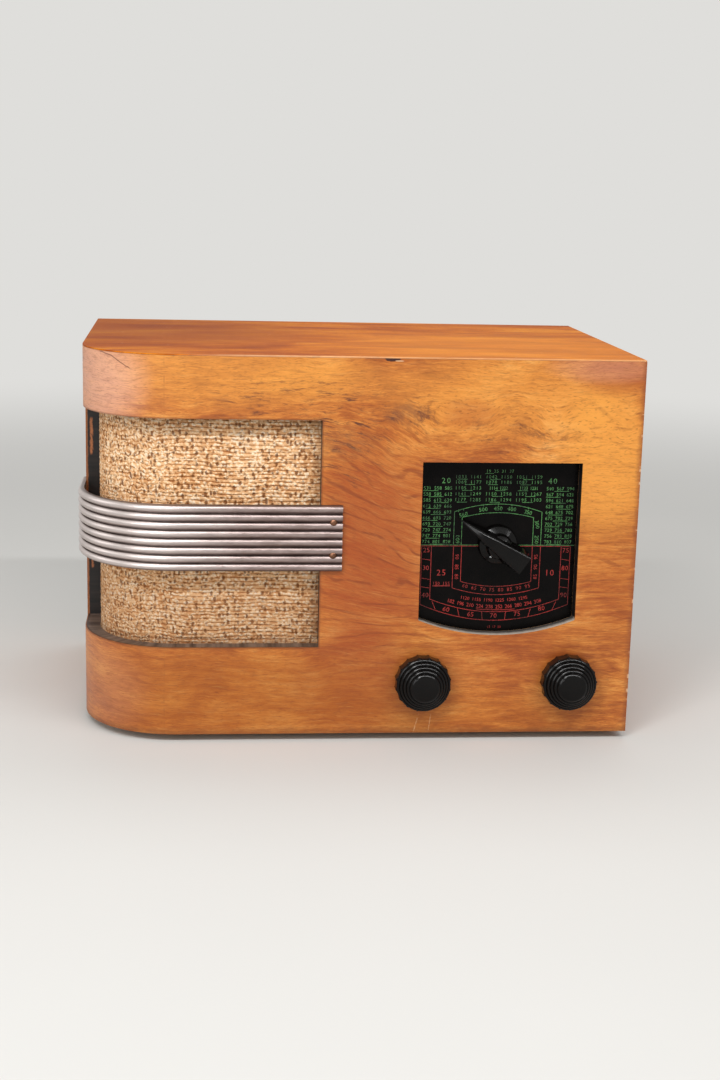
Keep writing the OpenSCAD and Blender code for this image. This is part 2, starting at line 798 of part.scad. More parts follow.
// Insulating blocks on the capacitor's base that hold the stator rods
module tuning_insulators() at_cabinet() color("#5a3420")
    for (y = [cap_y + cap_plate_t + cut, cap_y + cap_len - cap_plate_t - cut - insulator_t])
        difference() {
            block([dial_x - stator_half_w, y, tuning_z - cap_below + cap_plate_t],
                [dial_x + stator_half_w, y + insulator_t, tuning_z - insulator_top]);
            for (s = [-1, 1]) facing_back([dial_x + s * rod_x, y, tuning_z - rod_drop])
                hole(rod_r + fit, -cut, insulator_t + cut);
        }

// Steel frame of the tuning capacitor on four rubber feet
module tuning_frame() at_cabinet() color("#8b8d90") {
    difference() {
        union() {
            for (y = [cap_y, cap_y + cap_len - cap_plate_t])
                block([dial_x - cap_half_w, y, tuning_z - cap_below],
                    [dial_x + cap_half_w, y + cap_plate_t, tuning_z + cap_above]);
            block([dial_x - cap_half_w, cap_y, tuning_z - cap_below],
                [dial_x + cap_half_w, cap_y + cap_len, tuning_z - cap_below + cap_plate_t]);
        }
        facing_back([dial_x, cap_y, tuning_z]) hole(shaft_r + bearing_play, -cut, cap_len + cut);
    }
    for (x = [-1, 1], y = [cap_y + cap_foot_r, cap_y + cap_len - cap_foot_r])
        translate([dial_x + x * (cap_half_w - cap_foot_r), y, chassis_top])
            cylinder(r = cap_foot_r, h = tuning_z - cap_below - chassis_top);
}

// A round knob: fluted skirt, stepped rings and a domed middle, Z pointing out
module round_knob() difference() {
    depth = knob_out - knob_gap;
    skirt = depth * knob_skirt;
    dome_h = (depth - skirt) / (knob_rings + 1);
    sphere_r = (pow(knob_dome_r, 2) + pow(dome_h, 2)) / (2 * dome_h);
    union() {
        difference() {
            cylinder(r = knob_d / 2, h = skirt);
            for (i = [0:flute_count - 1]) rotate([0, 0, i * 360 / flute_count])
                translate([knob_d / 2 - flute_depth + flute_r, 0, 0])
                    hole(flute_r, -cut, skirt + cut);
        }
        for (i = [0:knob_rings - 1])
            cylinder(r = knob_d / 2 - knob_ring_in - i * knob_ring_step,
                h = skirt + (i + 1) * dome_h);
        intersection() {
            translate([0, 0, depth - sphere_r]) sphere(r = sphere_r);
            cylinder(r = knob_dome_r, h = depth + cut);
        }
    }
    hole(shaft_r + fit, -cut, knob_bore);
    translate([0, 0, knob_grub_out - knob_gap]) rotate([-90, 0, 0]) hole(grub_r + fit, 0, knob_d);
}

module control_knob(x) facing_front([x, -knob_gap, knob_z]) round_knob();

module control_grub(x)
    facing_front([x, -knob_grub_out, knob_z]) rotate([-90, 0, 0])
        hole(grub_r, shaft_r + fit, knob_d / 2 - knob_grub_in);

// A control's shaft from inside its knob back to a depth behind the chassis front
module control_shaft(x, depth)
    facing_back([x, -knob_gap - knob_bore + fit, knob_z])
        cylinder(r = shaft_r, h = chassis_y + depth + knob_gap + knob_bore);

// The threaded bush by which a control is fixed in the chassis front
module control_bush(x) facing_back([x, chassis_y - bush_out, knob_z])
    ring(bush_r, shaft_r + bearing_play, bush_out + sheet_t);

module volume_knob() at_cabinet() color("#121011") control_knob(knob_x[0]);

module volume_grub_screw() at_cabinet() color("#8f8f8c") control_grub(knob_x[0]);

// Shaft of the volume control with its wiper disc
module volume_shaft() at_cabinet() color("#b9b9b6") {
    control_shaft(knob_x[0], sheet_t + pot_wall + wiper_t + run_gap);
    facing_back([knob_x[0], chassis_y + sheet_t + pot_wall + run_gap, knob_z])
        cylinder(r = wiper_r, h = wiper_t);
}

// Case of the volume control with its bush and the mains switch behind it
module volume_pot() at_cabinet() color("#6d6f73") {
    control_bush(knob_x[0]);
    facing_back([knob_x[0], chassis_y + sheet_t, knob_z]) {
        difference() {
            cylinder(r = pot_r, h = pot_l);
            hole(pot_r - pot_wall, pot_wall, pot_l - pot_wall);
            hole(shaft_r + bearing_play, -cut, pot_wall + cut);
        }
        translate([0, 0, pot_l]) cylinder(r = pot_switch_r, h = pot_switch_l);
    }
}

module band_knob() at_cabinet() color("#121011") control_knob(knob_x[1]);

module band_grub_screw() at_cabinet() color("#8f8f8c") control_grub(knob_x[1]);

module band_shaft() at_cabinet() color("#b9b9b6") control_shaft(knob_x[1], sheet_t + switch_l);

// Contact rotors that turn inside the wafers of the wave switch
module band_rotors() at_cabinet() color("#c9a24a")
    for (d = wafer_at) facing_back([knob_x[1], chassis_y + sheet_t + d, knob_z])
        difference() {
            cylinder(r = wafer_rotor_r, h = wafer_t);
            hole(shaft_r + fit, -cut, wafer_t + cut);
            translate([wafer_notch[0], -wafer_notch[1] / 2, -cut])
                cube([wafer_rotor_r, wafer_notch[1], wafer_t + 2 * cut]);
        }

// Wave switch: bush, detent plate, two wafers and their spacer rods
module band_switch() at_cabinet() color("#8a5a33") {
    control_bush(knob_x[1]);
    facing_back([knob_x[1], chassis_y + sheet_t, knob_z]) {
        difference() {
            union() {
                cylinder(r = detent_r, h = detent_t);
                translate([-wafer_r, -detent_arm / 2, 0]) cube([2 * wafer_r, detent_arm, detent_t]);
            }
            hole(shaft_r + bearing_play, -cut, detent_t + cut);
        }
        for (d = wafer_at) translate([0, 0, d]) ring(wafer_r, wafer_hole_r, wafer_t);
        for (s = [-1, 1]) translate([s * spacer_x, 0, detent_t])
            cylinder(r = spacer_r, h = switch_l - detent_t);
    }
}

module control_nuts() at_cabinet() color("#a8a48f")
    for (x = knob_x) facing_back([x, chassis_y - control_nut_h, knob_z]) difference() {
        cylinder(r = control_nut_r, h = control_nut_h, $fn = 6);
        hole(bush_r + fit, -cut, control_nut_h + cut);
    }

// Moves to the chassis's left front corner on its upper face
module on_chassis() translate([chassis_x, chassis_y, chassis_top]) children();

// Folded steel pan, open below, with tabs for its bolts
module chassis() at_cabinet() color("#9aa0a3") difference() {
    union() {
        difference() {
            block([chassis_x, chassis_y, chassis_z],
                [chassis_x + chassis_w, chassis_back, chassis_top]);
            block([chassis_x + sheet_t, chassis_y + sheet_t, chassis_z - cut],
                [chassis_x + chassis_w - sheet_t, chassis_back - sheet_t, chassis_top - sheet_t]);
        }
        for (x = [0, chassis_w - tab], y = [0, chassis_d - tab])
            translate([chassis_x + x, chassis_y + y, chassis_z]) cube([tab, tab, sheet_t]);
    }
    for (v = valves) on_chassis() translate([v[0], v[1], 0])
        hole(socket_low_r + fit, -sheet_t - cut, cut);
    on_chassis() translate([lead_x - chassis_x, lead_y - chassis_y, 0])
        hole(lead_r + fit, -sheet_t - cut, cut);
    for (x = knob_x) facing_back([x, chassis_y, knob_z]) hole(apron_hole_r, -cut, sheet_t + cut);
    for (p = chassis_bolt_places)
        translate([p[0], p[1], chassis_z]) hole(bolt_r + fit, -cut, sheet_t + cut);
    for (s = [0, 1]) facing_back([plug_x(s), chassis_back, plug_z])
        hole(plug_socket_r + 1, -sheet_t - cut, cut);
    facing_back([chassis_x + grommet_at[0], chassis_back, grommet_at[1]])
        hole(grommet_r - grommet_side + fit, -sheet_t - cut, cut);
}

// Bolts and nuts of the chassis and the speaker
module machine_bolts() at_cabinet() color("#a9a9a4") {
    for (p = chassis_bolt_places) translate([p[0], p[1], bolt_head_h]) {
        screw(bolt_r, bolt_head_r, bolt_head_h, wall_t + sheet_t + nut_h + cut - bolt_head_h);
        translate([0, 0, wall_t + sheet_t - bolt_head_h]) bolt_nut();
    }
    facing_back([speaker_x, baffle_y, speaker_z]) on_bolt_circle() {
        screw(bolt_r, bolt_head_r, bolt_head_h, baffle_t + flange_y + flange_t + nut_h + cut);
        translate([0, 0, baffle_t + flange_y + flange_t]) bolt_nut();
    }
}

module bolt_nut() difference() {
    cylinder(r = nut_r, h = nut_h, $fn = 6);
    hole(bolt_r + fit, -cut, nut_h + cut);
}

module on_valves() on_chassis() for (v = valves) translate([v[0], v[1], 0]) children();

module valve_sockets() at_cabinet() color("#5b3a22") on_valves() {
    cylinder(r = socket_r, h = socket_t);
    translate([0, 0, -socket_low]) cylinder(r = socket_low_r, h = socket_low);
}

module valve_bases() at_cabinet() color("#221a18") on_valves()
    translate([0, 0, socket_t]) cylinder(r = base_r, h = base_h);

// Profile of a valve's glass, drawn in by an inset, from the top of its base
module bulb_profile(inset) {
    r = valve_d / 2;
    polygon([[0, inset > 0 ? -cut : 0], [r - bulb_neck - inset, inset > 0 ? -cut : 0],
        [r - inset, 0.24 * valve_h], [r - inset, 0.6 * valve_h], [0.7 * r - inset, 0.78 * valve_h],
        [0.7 * r - inset, 0.92 * valve_h - inset], [0.45 * r - inset, valve_h - inset],
        [0, valve_h - inset]]);
}

module valve_glass() at_cabinet() color("#b9c4c6") on_valves()
    translate([0, 0, socket_t + base_h]) rotate_extrude() difference() {
        bulb_profile(0);
        bulb_profile(glass_wall);
    }

// Pinch, anode and mica discs that stand inside each bulb
module valve_electrodes() at_cabinet() color("#55585a") on_valves()
    translate([0, 0, socket_t + base_h]) {
        cylinder(r = stem_r, h = mica_at[0] * valve_h);
        for (h = mica_at) translate([0, 0, h * valve_h])
            cylinder(r = valve_d / 2 - mica_in, h = mica_t);
        translate([0, 0, mica_at[0] * valve_h])
            cylinder(r = anode_r, h = (mica_at[1] - mica_at[0]) * valve_h);
    }

module valve_caps() at_cabinet() color("#b4b2ab")
    on_chassis() for (v = valves) if (v[2] == 1)
        translate([v[0], v[1], socket_t + base_h + valve_h]) cylinder(r = cap_r, h = cap_h);

// Outline of a square can with rounded corners
module can_outline(side, round_r) union() {
    square([side - 2 * round_r, side], center = true);
    square([side, side - 2 * round_r], center = true);
    for (x = [-1, 1], y = [-1, 1])
        translate([x * (side / 2 - round_r), y * (side / 2 - round_r)]) circle(r = round_r);
}

// Aluminium screening cans, open below
module coil_cans() at_cabinet() color("#b7babc") on_chassis() {
    for (c = square_cans) translate([c[0], c[1], 0]) difference() {
        linear_extrude(can_h) can_outline(can_side, can_round);
        translate([0, 0, -cut]) linear_extrude(can_h - can_wall + cut)
            can_outline(can_side - 2 * can_wall, can_round - can_wall);
    }
    for (c = round_cans) translate([c[0], c[1], 0]) difference() {
        cylinder(r = c[2], h = c[3]);
        hole(c[2] - can_wall, -cut, c[3] - can_wall);
    }
}

module smoothing_capacitors() at_cabinet() color("#a3a5a8") on_chassis()
    for (c = smoothing) translate([c[0], c[1], 0]) {
        cylinder(r = smoothing_r, h = smoothing_h);
        translate([0, 0, smoothing_h]) cylinder(r = smoothing_lid[0], h = smoothing_lid[1]);
    }

// Stacked iron core with a window on each side of its middle limb
module mains_core() at_cabinet() color("#4b4a4c") on_chassis() translate(core_middle)
    difference() {
        cube(core_size, center = true);
        for (s = [-1, 1]) translate([s * (core_limb + core_window[0]) / 2, 0, 0])
            cube([core_window[0], core_size[1] + 2 * cut, core_window[1]], center = true);
    }

module mains_winding() at_cabinet() color("#8e4b2a") on_chassis() translate(core_middle)
    difference() {
        cube([core_limb + 2 * core_window[0] - 2 * winding_gap, core_size[1] + 2 * winding_out,
            core_window[1] - 2 * winding_gap], center = true);
        cube([core_limb + 2 * winding_gap, core_size[1] + 2 * winding_gap, core_size[2]],
            center = true);
    }

// Moves to the speaker's axis on the back of the baffle, Z pointing back
module on_speaker() facing_back([speaker_x, speaker_y, speaker_z]) children();

module on_bolt_circle() for (a = [45:90:315])
    rotate([0, 0, a]) translate([bolt_circle_r, 0, 0]) children();

// Pressed steel basket with four windows
module speaker_basket() at_cabinet() color("#5f6468") on_speaker() difference() {
    rotate_extrude() polygon([[basket_in, flange_y], [speaker_r, flange_y],
        [speaker_r, flange_y + flange_t], [basket_in + basket_wall, flange_y + flange_t],
        [basket_back_r, yoke_y - basket_wall], [basket_back_r, yoke_y], [basket_hole_r, yoke_y],
        [basket_hole_r, yoke_y - basket_wall], [basket_back_r - basket_wall, yoke_y - basket_wall]]);
    on_bolt_circle() hole(bolt_r + fit, 0, yoke_y);
    for (a = [0:90:270]) rotate([0, 0, a]) translate([basket_back_r, 0, basket_depth / 2])
        rotate([0, 90, 0]) cylinder(r = basket_window_r, h = speaker_r - basket_back_r + cut);
}

// Card gasket, flexible surround and centring spider, all held by the basket
module cone_surround() at_cabinet() color("#3b2f28") on_speaker() {
    difference() {
        ring(speaker_r, basket_in, gasket_t);
        on_bolt_circle() hole(bolt_r + fit, -cut, gasket_t + cut);
    }
    translate([0, 0, gasket_t]) difference() {
        ring(speaker_r, cone_r + run_gap, surround_t);
        on_bolt_circle() hole(bolt_r + fit, -cut, surround_t + cut);
    }
    translate([0, 0, spider_y]) ring(spider_r, coil_r + run_gap, surround_t);
}

// Paper cone with its dust cap
module speaker_cone() at_cabinet() color("#2b2724") on_speaker() {
    rotate_extrude() polygon([[cone_r, cone_front], [cone_r, cone_front + cone_t],
        [coil_r + fit + cone_t, cone_back], [coil_r + fit, cone_back],
        [coil_r + fit, cone_back - cone_t], [cone_r - cone_t, cone_front]]);
    translate([0, 0, dust_cap_y - cone_t]) cylinder(r = dust_cap_r, h = cone_t);
}

module voice_coil() at_cabinet() color("#b8763a") on_speaker()
    translate([0, 0, dust_cap_y]) ring(coil_r, coil_in_r, yoke_y + yoke_t - coil_short - dust_cap_y);

// Steel yoke with the round pole that the voice coil moves over
module magnet_yoke() at_cabinet() color("#54575a") on_speaker() translate([0, 0, yoke_y]) {
    difference() {
        translate([-yoke_w / 2, -yoke_h / 2, 0]) cube([yoke_w, yoke_h, yoke_l]);
        translate([-yoke_w / 2 - cut, -yoke_h / 2 + yoke_t, yoke_t])
            cube([yoke_w + 2 * cut, yoke_h - 2 * yoke_t, yoke_l - 2 * yoke_t]);
        hole(plate_hole_r, -cut, yoke_t + cut);
    }
    cylinder(r = pole_r, h = yoke_l - yoke_t);
}

module field_coil() at_cabinet() color("#7a4426") on_speaker()
    translate([0, 0, yoke_y + yoke_t + winding_gap])
        ring(field_r, pole_r + winding_gap, yoke_l - 2 * yoke_t - 2 * winding_gap);

// Output transformer on the yoke: iron core with its winding
module output_transformer() at_cabinet() color("#47464a")
    translate([speaker_x, speaker_y + yoke_y + yoke_l / 2, lead_z]) {
        cube(output_core, center = true);
        cube(output_winding, center = true);
    }

// Lead from the output transformer's side, over and down into the chassis
module speaker_lead() at_cabinet() color("#4a2f1f") {
    start = speaker_x + output_core[0] / 2;
    translate([start, lead_y, lead_z]) rotate([0, 90, 0])
        cylinder(r = lead_r, h = lead_x - lead_bend - start);
    translate([lead_x - lead_bend, lead_y, lead_z - lead_bend]) rotate([90, 0, 0])
        rotate_extrude(angle = 90) translate([lead_bend, 0]) circle(r = lead_r);
    translate([lead_x, lead_y, chassis_top - lead_drop])
        cylinder(r = lead_r, h = lead_z - lead_bend - chassis_top + lead_drop);
}

// Tag board on two posts under the chassis, with its resistors and paper capacitors
module tag_board() at_cabinet() color("#a9713a")
    translate([chassis_x + board_at[0], chassis_y + board_at[1], chassis_top - sheet_t]) {
        translate([0, 0, -board_drop]) cube(board_size);
        for (x = [post_r + 1, board_size[0] - post_r - 1])
            translate([x, board_size[1] / 2, -board_drop + board_size[2]])
                cylinder(r = post_r, h = board_drop - board_size[2]);
        for (i = [0:resistor_count - 1])
            translate([resistor_at[0] + resistor_pitch * i, resistor_at[1], -board_drop - resistor_r])
                rotate([-90, 0, 0]) cylinder(r = resistor_r, h = resistor_l);
        for (i = [0:paper_count - 1])
            translate([paper_in + (paper_l + paper_gap) * i, board_size[1] - paper_r,
                -board_drop - paper_r]) rotate([0, 90, 0]) cylinder(r = paper_r, h = paper_l);
    }

// Insulating strip for the aerial and earth sockets
module rear_strip() at_cabinet() color("#6e4426") difference() {
    block([chassis_x + strip_at[0], chassis_back, strip_at[1]],
        [chassis_x + strip_at[0] + strip_size[0], chassis_back + strip_size[2],
        strip_at[1] + strip_size[1]]);
    for (i = [0, 1]) facing_back([plug_x(i), chassis_back, plug_z])
        hole(plug_socket_r + fit, -cut, strip_size[2] + cut);
}

module plug_sockets() at_cabinet() color("#c2ab6b")
    for (i = [0, 1]) facing_back([plug_x(i), chassis_back + strip_size[2], plug_z]) {
        translate([0, 0, plug_socket_out - plug_socket_l])
            ring(plug_socket_r, socket_bore_r, plug_socket_l);
        ring(plug_collar_r, plug_socket_r - fit, plug_socket_out);
    }

// Round voltage selector with a screwed cap
module voltage_selector() at_cabinet() color("#1e1918")
    facing_back([chassis_x + selector_at[0], chassis_back, selector_at[1]]) difference() {
        union() {
            cylinder(r = selector_r, h = selector_h);
            cylinder(r = selector_cap_r, h = selector_h + selector_cap_h);
        }
        translate([-selector_r, -slot_w, selector_h + selector_cap_h - slot_depth])
            cube([2 * selector_r, 2 * slot_w, slot_depth + cut]);
    }

// Rubber grommet, open for a mains cord
module mains_grommet() at_cabinet() color("#211f1e")
    facing_back([chassis_x + grommet_at[0], chassis_back - sheet_t - grommet_side, grommet_at[1]])
        difference() {
            union() {
                cylinder(r = grommet_r, h = grommet_side);
                cylinder(r = grommet_r - grommet_side, h = sheet_t + 2 * grommet_side);
                translate([0, 0, sheet_t + grommet_side]) cylinder(r = grommet_r, h = grommet_side);
            }
            hole(grommet_bore_r, -cut, sheet_t + 2 * grommet_side + cut);
        }

front_wrap();
right_side();
top_board();
top_veneer();
bottom_board();
battens();
back_panel();
rubber_feet();
wood_screws();
grille_cloth();
cloth_former();
speaker_baffle();
trim_band();
trim_nails();
dial_glass();
dial_backplate();
dial_clips();
dial_lamps();
lamp_holders();
tuning_knob();
tuning_grub_screw();
tuning_shaft();
tuning_rotor();
tuning_stator();
tuning_insulators();
tuning_frame();
volume_knob();
volume_grub_screw();
volume_shaft();
volume_pot();
band_knob();
band_grub_screw();
band_shaft();
band_rotors();
band_switch();
control_nuts();
chassis();
machine_bolts();
valve_sockets();
valve_bases();
valve_glass();
valve_electrodes();
valve_caps();
coil_cans();
smoothing_capacitors();
mains_core();
mains_winding();
speaker_basket();
cone_surround();
speaker_cone();
voice_coil();
magnet_yoke();
field_coil();
output_transformer();
speaker_lead();
tag_board();
rear_strip();
plug_sockets();
voltage_selector();
mains_grommet();
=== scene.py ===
"""Table radio receiver, dressed: a veneered cabinet with one bent corner, looped grille cloth
behind a ribbed metal band, a printed dial with its pointer knob, and two round knobs.

Shapes are worked out in cabinet millimetres: X from the middle of the cabinet's width, Y from
its front face to the back and Z up from its underside. make_piece() turns them into metres."""

import json
import math

import bmesh
import bpy
import numpy as np
from mathutils import Matrix, Vector


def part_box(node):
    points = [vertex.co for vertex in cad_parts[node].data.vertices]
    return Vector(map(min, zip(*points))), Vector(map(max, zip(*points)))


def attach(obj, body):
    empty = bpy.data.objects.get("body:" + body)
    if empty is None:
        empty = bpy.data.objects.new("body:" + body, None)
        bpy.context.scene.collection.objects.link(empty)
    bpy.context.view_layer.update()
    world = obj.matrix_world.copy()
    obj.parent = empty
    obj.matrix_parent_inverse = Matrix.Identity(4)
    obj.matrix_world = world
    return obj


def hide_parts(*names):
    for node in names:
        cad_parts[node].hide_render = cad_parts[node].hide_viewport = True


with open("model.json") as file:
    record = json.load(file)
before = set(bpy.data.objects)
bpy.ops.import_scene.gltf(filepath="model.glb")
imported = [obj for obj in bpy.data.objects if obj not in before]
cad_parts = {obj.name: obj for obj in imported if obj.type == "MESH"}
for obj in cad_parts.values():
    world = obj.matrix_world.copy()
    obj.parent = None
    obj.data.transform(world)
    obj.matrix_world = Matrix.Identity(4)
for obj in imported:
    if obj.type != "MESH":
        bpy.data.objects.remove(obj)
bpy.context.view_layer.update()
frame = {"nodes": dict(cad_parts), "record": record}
nodes = frame["nodes"]

# The cabinet's height, and where its zero lies in the part's frame, in metres
lid_low, lid_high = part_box("top_veneer")
CABINET_H = 0.241
CABINET = np.array([(lid_low.x + lid_high.x) / 2, lid_low.y, lid_high.z - CABINET_H])

# Bent corner of the cabinet
CORNER_R = 60.0
CORNER_X = -115.0
CORNER_Y = 60.0

# Grille opening: right end, far end on the side, lower and upper edge
GRILLE_RIGHT = -26.0
GRILLE_SIDE = 80.0
GRILLE_LOW = 57.0
GRILLE_HIGH = 201.5

# Ribbed band: its middle height, the step from rib to rib, and its nails: how far above and below
# the middle, how far beside the grille, and how far their heads' feet stand off the wood
BAND_Z = 127.7
RIB_PITCH = 5.25
NAIL_UP = 10.5
NAIL_BESIDE = 7.8
NAIL_OUT = 1.2

# Grille cloth: from one yarn to the next, and how far it lies below the cabinet's outer face
YARN = 2.42
CLOTH_IN = 10.1

# Dial: the pointer's shaft, the face of the glass, and the print just in front of it
DIAL_X = 87.4
SHAFT_Z = 122.0
GLASS_Y = 10.0
PRINT_Y = GLASS_Y - 0.03

# Round knobs: shafts and back face, and the pointer's turn at rest, from straight left upwards
KNOB_X = (40.4, 134.4)
KNOB_Y = -1.0
KNOB_Z = 35.0
POINTER_TURN = 34.5

# The sky's colour, which the floor takes on far off
SKY = "dfdedb"


# Shapes


def added(name, data):
    """A new object of the scene."""
    new = bpy.data.objects.new(name, data)
    bpy.context.scene.collection.objects.link(new)
    return new


def grid_faces(rows, columns, ring=False):
    """Quads between the points of a rows by columns grid, whose columns may join up in a ring."""
    r, c = np.arange(rows - 1), np.arange(columns if ring else columns - 1)
    r, c = (a.ravel() for a in np.meshgrid(r, c, indexing="ij"))
    next_c = (c + 1) % columns
    here, above = r * columns, (r + 1) * columns
    return np.stack([here + c, here + next_c, above + next_c, above + c], -1)


def put_together(parts):
    """One list of points and faces out of several, each face list moved on by the points before it."""
    points, faces, count = [], [], 0
    for p, f in parts:
        points.append(np.asarray(p, float).reshape(-1, 3))
        faces += [[int(i) + count for i in face] for face in f]
        count += len(points[-1])
    return np.concatenate(points), faces


def make_piece(name, points, faces, finish, slot, body="cabinet", smooth=True, closed=False, replaces=()):
    """A piece of the radio from cabinet millimetres, riding on a body."""
    mesh = bpy.data.meshes.new(name)
    faces = faces.tolist() if isinstance(faces, np.ndarray) else faces
    mesh.from_pydata((np.asarray(points, float) * 0.001 + CABINET).tolist(), [], faces)
    mesh.polygons.foreach_set("use_smooth", [smooth] * len(mesh.polygons))
    piece = added(name, mesh)
    if closed:
        close_up(mesh)
    mesh.materials.append(finish.material)
    mesh.update()
    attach(piece, body)
    if replaces:
        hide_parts(*replaces)
    return piece


def close_up(mesh):
    """Points that lie on each other become one, and every face turns outwards."""
    weld(mesh, lambda work: bmesh.ops.recalc_face_normals(work, faces=work.faces))


def weld(mesh, change):
    """Points that lie on each other become one, and a change is made to the mesh."""
    work = bmesh.new()
    work.from_mesh(mesh)
    bmesh.ops.remove_doubles(work, verts=work.verts, dist=1e-6)
    change(work)
    work.to_mesh(mesh)
    work.free()


def round_edges(piece, width, angle=35):
    """Worn edges: every edge sharper than the angle is rounded off by a width in millimetres."""
    joined = piece.modifiers.new("weld", "WELD")
    joined.merge_threshold = 1e-6
    bevel = piece.modifiers.new("worn_edges", "BEVEL")
    bevel.width = width * 0.001
    bevel.segments = 2
    bevel.limit_method = "ANGLE"
    bevel.angle_limit = math.radians(angle)
    bevel.harden_normals = True


def filleted(corners, radii, steps=4):
    """A polyline whose corners are rounded: each corner gives way to an arc that touches both sides."""
    corners = np.asarray(corners, float)
    line = [corners[0]]
    for before, here, after, r in zip(corners[:-2], corners[1:-1], corners[2:], radii):
        a, b = before - here, after - here
        la, lb = np.linalg.norm(a), np.linalg.norm(b)
        a, b = a / la, b / lb
        half = max(math.acos(np.clip(a @ b, -1, 1)) / 2, 0.05)
        reach = min(r / math.tan(half), 0.49 * la, 0.49 * lb)
        r = reach * math.tan(half)
        if r < 1e-6 or half > 1.56:
            line.append(here)
            continue
        middle = here + (a + b) / np.linalg.norm(a + b) * (r / math.sin(half))
        start, end = here + a * reach - middle, here + b * reach - middle
        turn = math.acos(np.clip(start @ end / (r * r), -1, 1))
        t = np.linspace(0, 1, steps + 1)[:, None]
        line += list(middle + (np.sin((1 - t) * turn) * start + np.sin(t * turn) * end) / math.sin(turn))
    line.append(corners[-1])
    return np.array(line)


def turned(profile, steps, shape=None):
    """A turned form: each profile point (radius, height) goes round the axis, and shape(angle,
    radius, height) may change the radius on the way."""
    angle = np.arange(steps) * 2 * math.pi / steps
    radius, height = profile[:, 0][:, None], profile[:, 1][:, None]
    r = radius + np.zeros_like(angle)[None, :]
    if shape is not None:
        r = shape(angle[None, :], radius, height)
    points = np.stack([r * np.cos(angle), r * np.sin(angle), height + 0 * r], -1)
    return points.reshape(-1, 3), grid_faces(len(profile), steps, ring=True)


def facing_front(points, place, turn=0.0):
    """Turns a form drawn along Z so that Z points to the front and Y up, after a turn about Z."""
    p = np.asarray(points, float)
    c, s = math.cos(math.radians(turn)), math.sin(math.radians(turn))
    x, y = c * p[:, 0] - s * p[:, 1], s * p[:, 0] + c * p[:, 1]
    return np.stack([x, -p[:, 2], y], -1) + np.asarray(place, float)


# Finishes


def paint(code):
    """A colour code such as c8823c as the linear values that a shader takes."""
    s = np.array([int(code[i:i + 2], 16) for i in (0, 2, 4)]) / 255
    linear = np.where(s <= 0.04045, s / 12.92, ((s + 0.055) / 1.055) ** 2.4)
    return (*linear.tolist(), 1.0)


def on_wires(kind, swapped=False):
    """How a sum of one kind is written out on a wire and another value, or the two turned round."""
    def write(self, other):
        return self.tree.sum(kind, *((other, self) if swapped else (self, other)))
    return write


class Wire:
    """A value on its way through a tree, on which sums can be written out."""

    def __init__(self, tree, socket):
        self.tree, self.socket = tree, socket

    __add__ = __radd__ = on_wires("ADD")
    __mul__ = __rmul__ = on_wires("MULTIPLY")
    __sub__, __rsub__ = on_wires("SUBTRACT"), on_wires("SUBTRACT", swapped=True)
    __truediv__, __pow__ = on_wires("DIVIDE"), on_wires("POWER")
    at_least, at_most = on_wires("MAXIMUM"), on_wires("MINIMUM")

    def size(self):
        return self.tree.sum("ABSOLUTE", self)

    def wave(self):
        return self.tree.sum("SINE", self)

    def rise(self, low, high):
        """0 below low, 1 above high and a smooth rise between."""
        return self.tree.node("ShaderNodeMapRange", {"Value": self, "From Min": low, "From Max": high},
                                interpolation_type="SMOOTHSTEP")

    def fall(self, low, high):
        return 1.0 - self.rise(low, high)


class Tree:
    """A node tree under construction."""

    def __init__(self, tree):
        self.tree = tree

    def feed(self, socket, value):
        """A socket takes a wire, a colour code or a plain value."""
        if isinstance(value, Wire):
            self.tree.links.new(value.socket, socket)
        else:
            socket.default_value = paint(value) if isinstance(value, str) else value

    def node(self, kind, inputs, output=0, **settings):
        """A new step with its settings and what its inputs are fed. One of its outputs goes on."""
        n = self.tree.nodes.new(kind)
        for name, value in settings.items():
            setattr(n, name, value)
        for socket, value in inputs.items():
            self.feed(n.inputs[socket], value)
        return Wire(self, n.outputs[output])

    def sum(self, kind, *values):
        return self.node("ShaderNodeMath", dict(enumerate(values)), operation=kind)

    def seen(self):
        """1 for the camera, also in mirrors and through glass, and 0 for light on its way."""
        ray = self.tree.nodes.new("ShaderNodeLightPath").outputs
        names = "Is Camera Ray", "Is Glossy Ray", "Is Transmission Ray"
        return sum(Wire(self, ray[name]) for name in names).at_most(1.0)


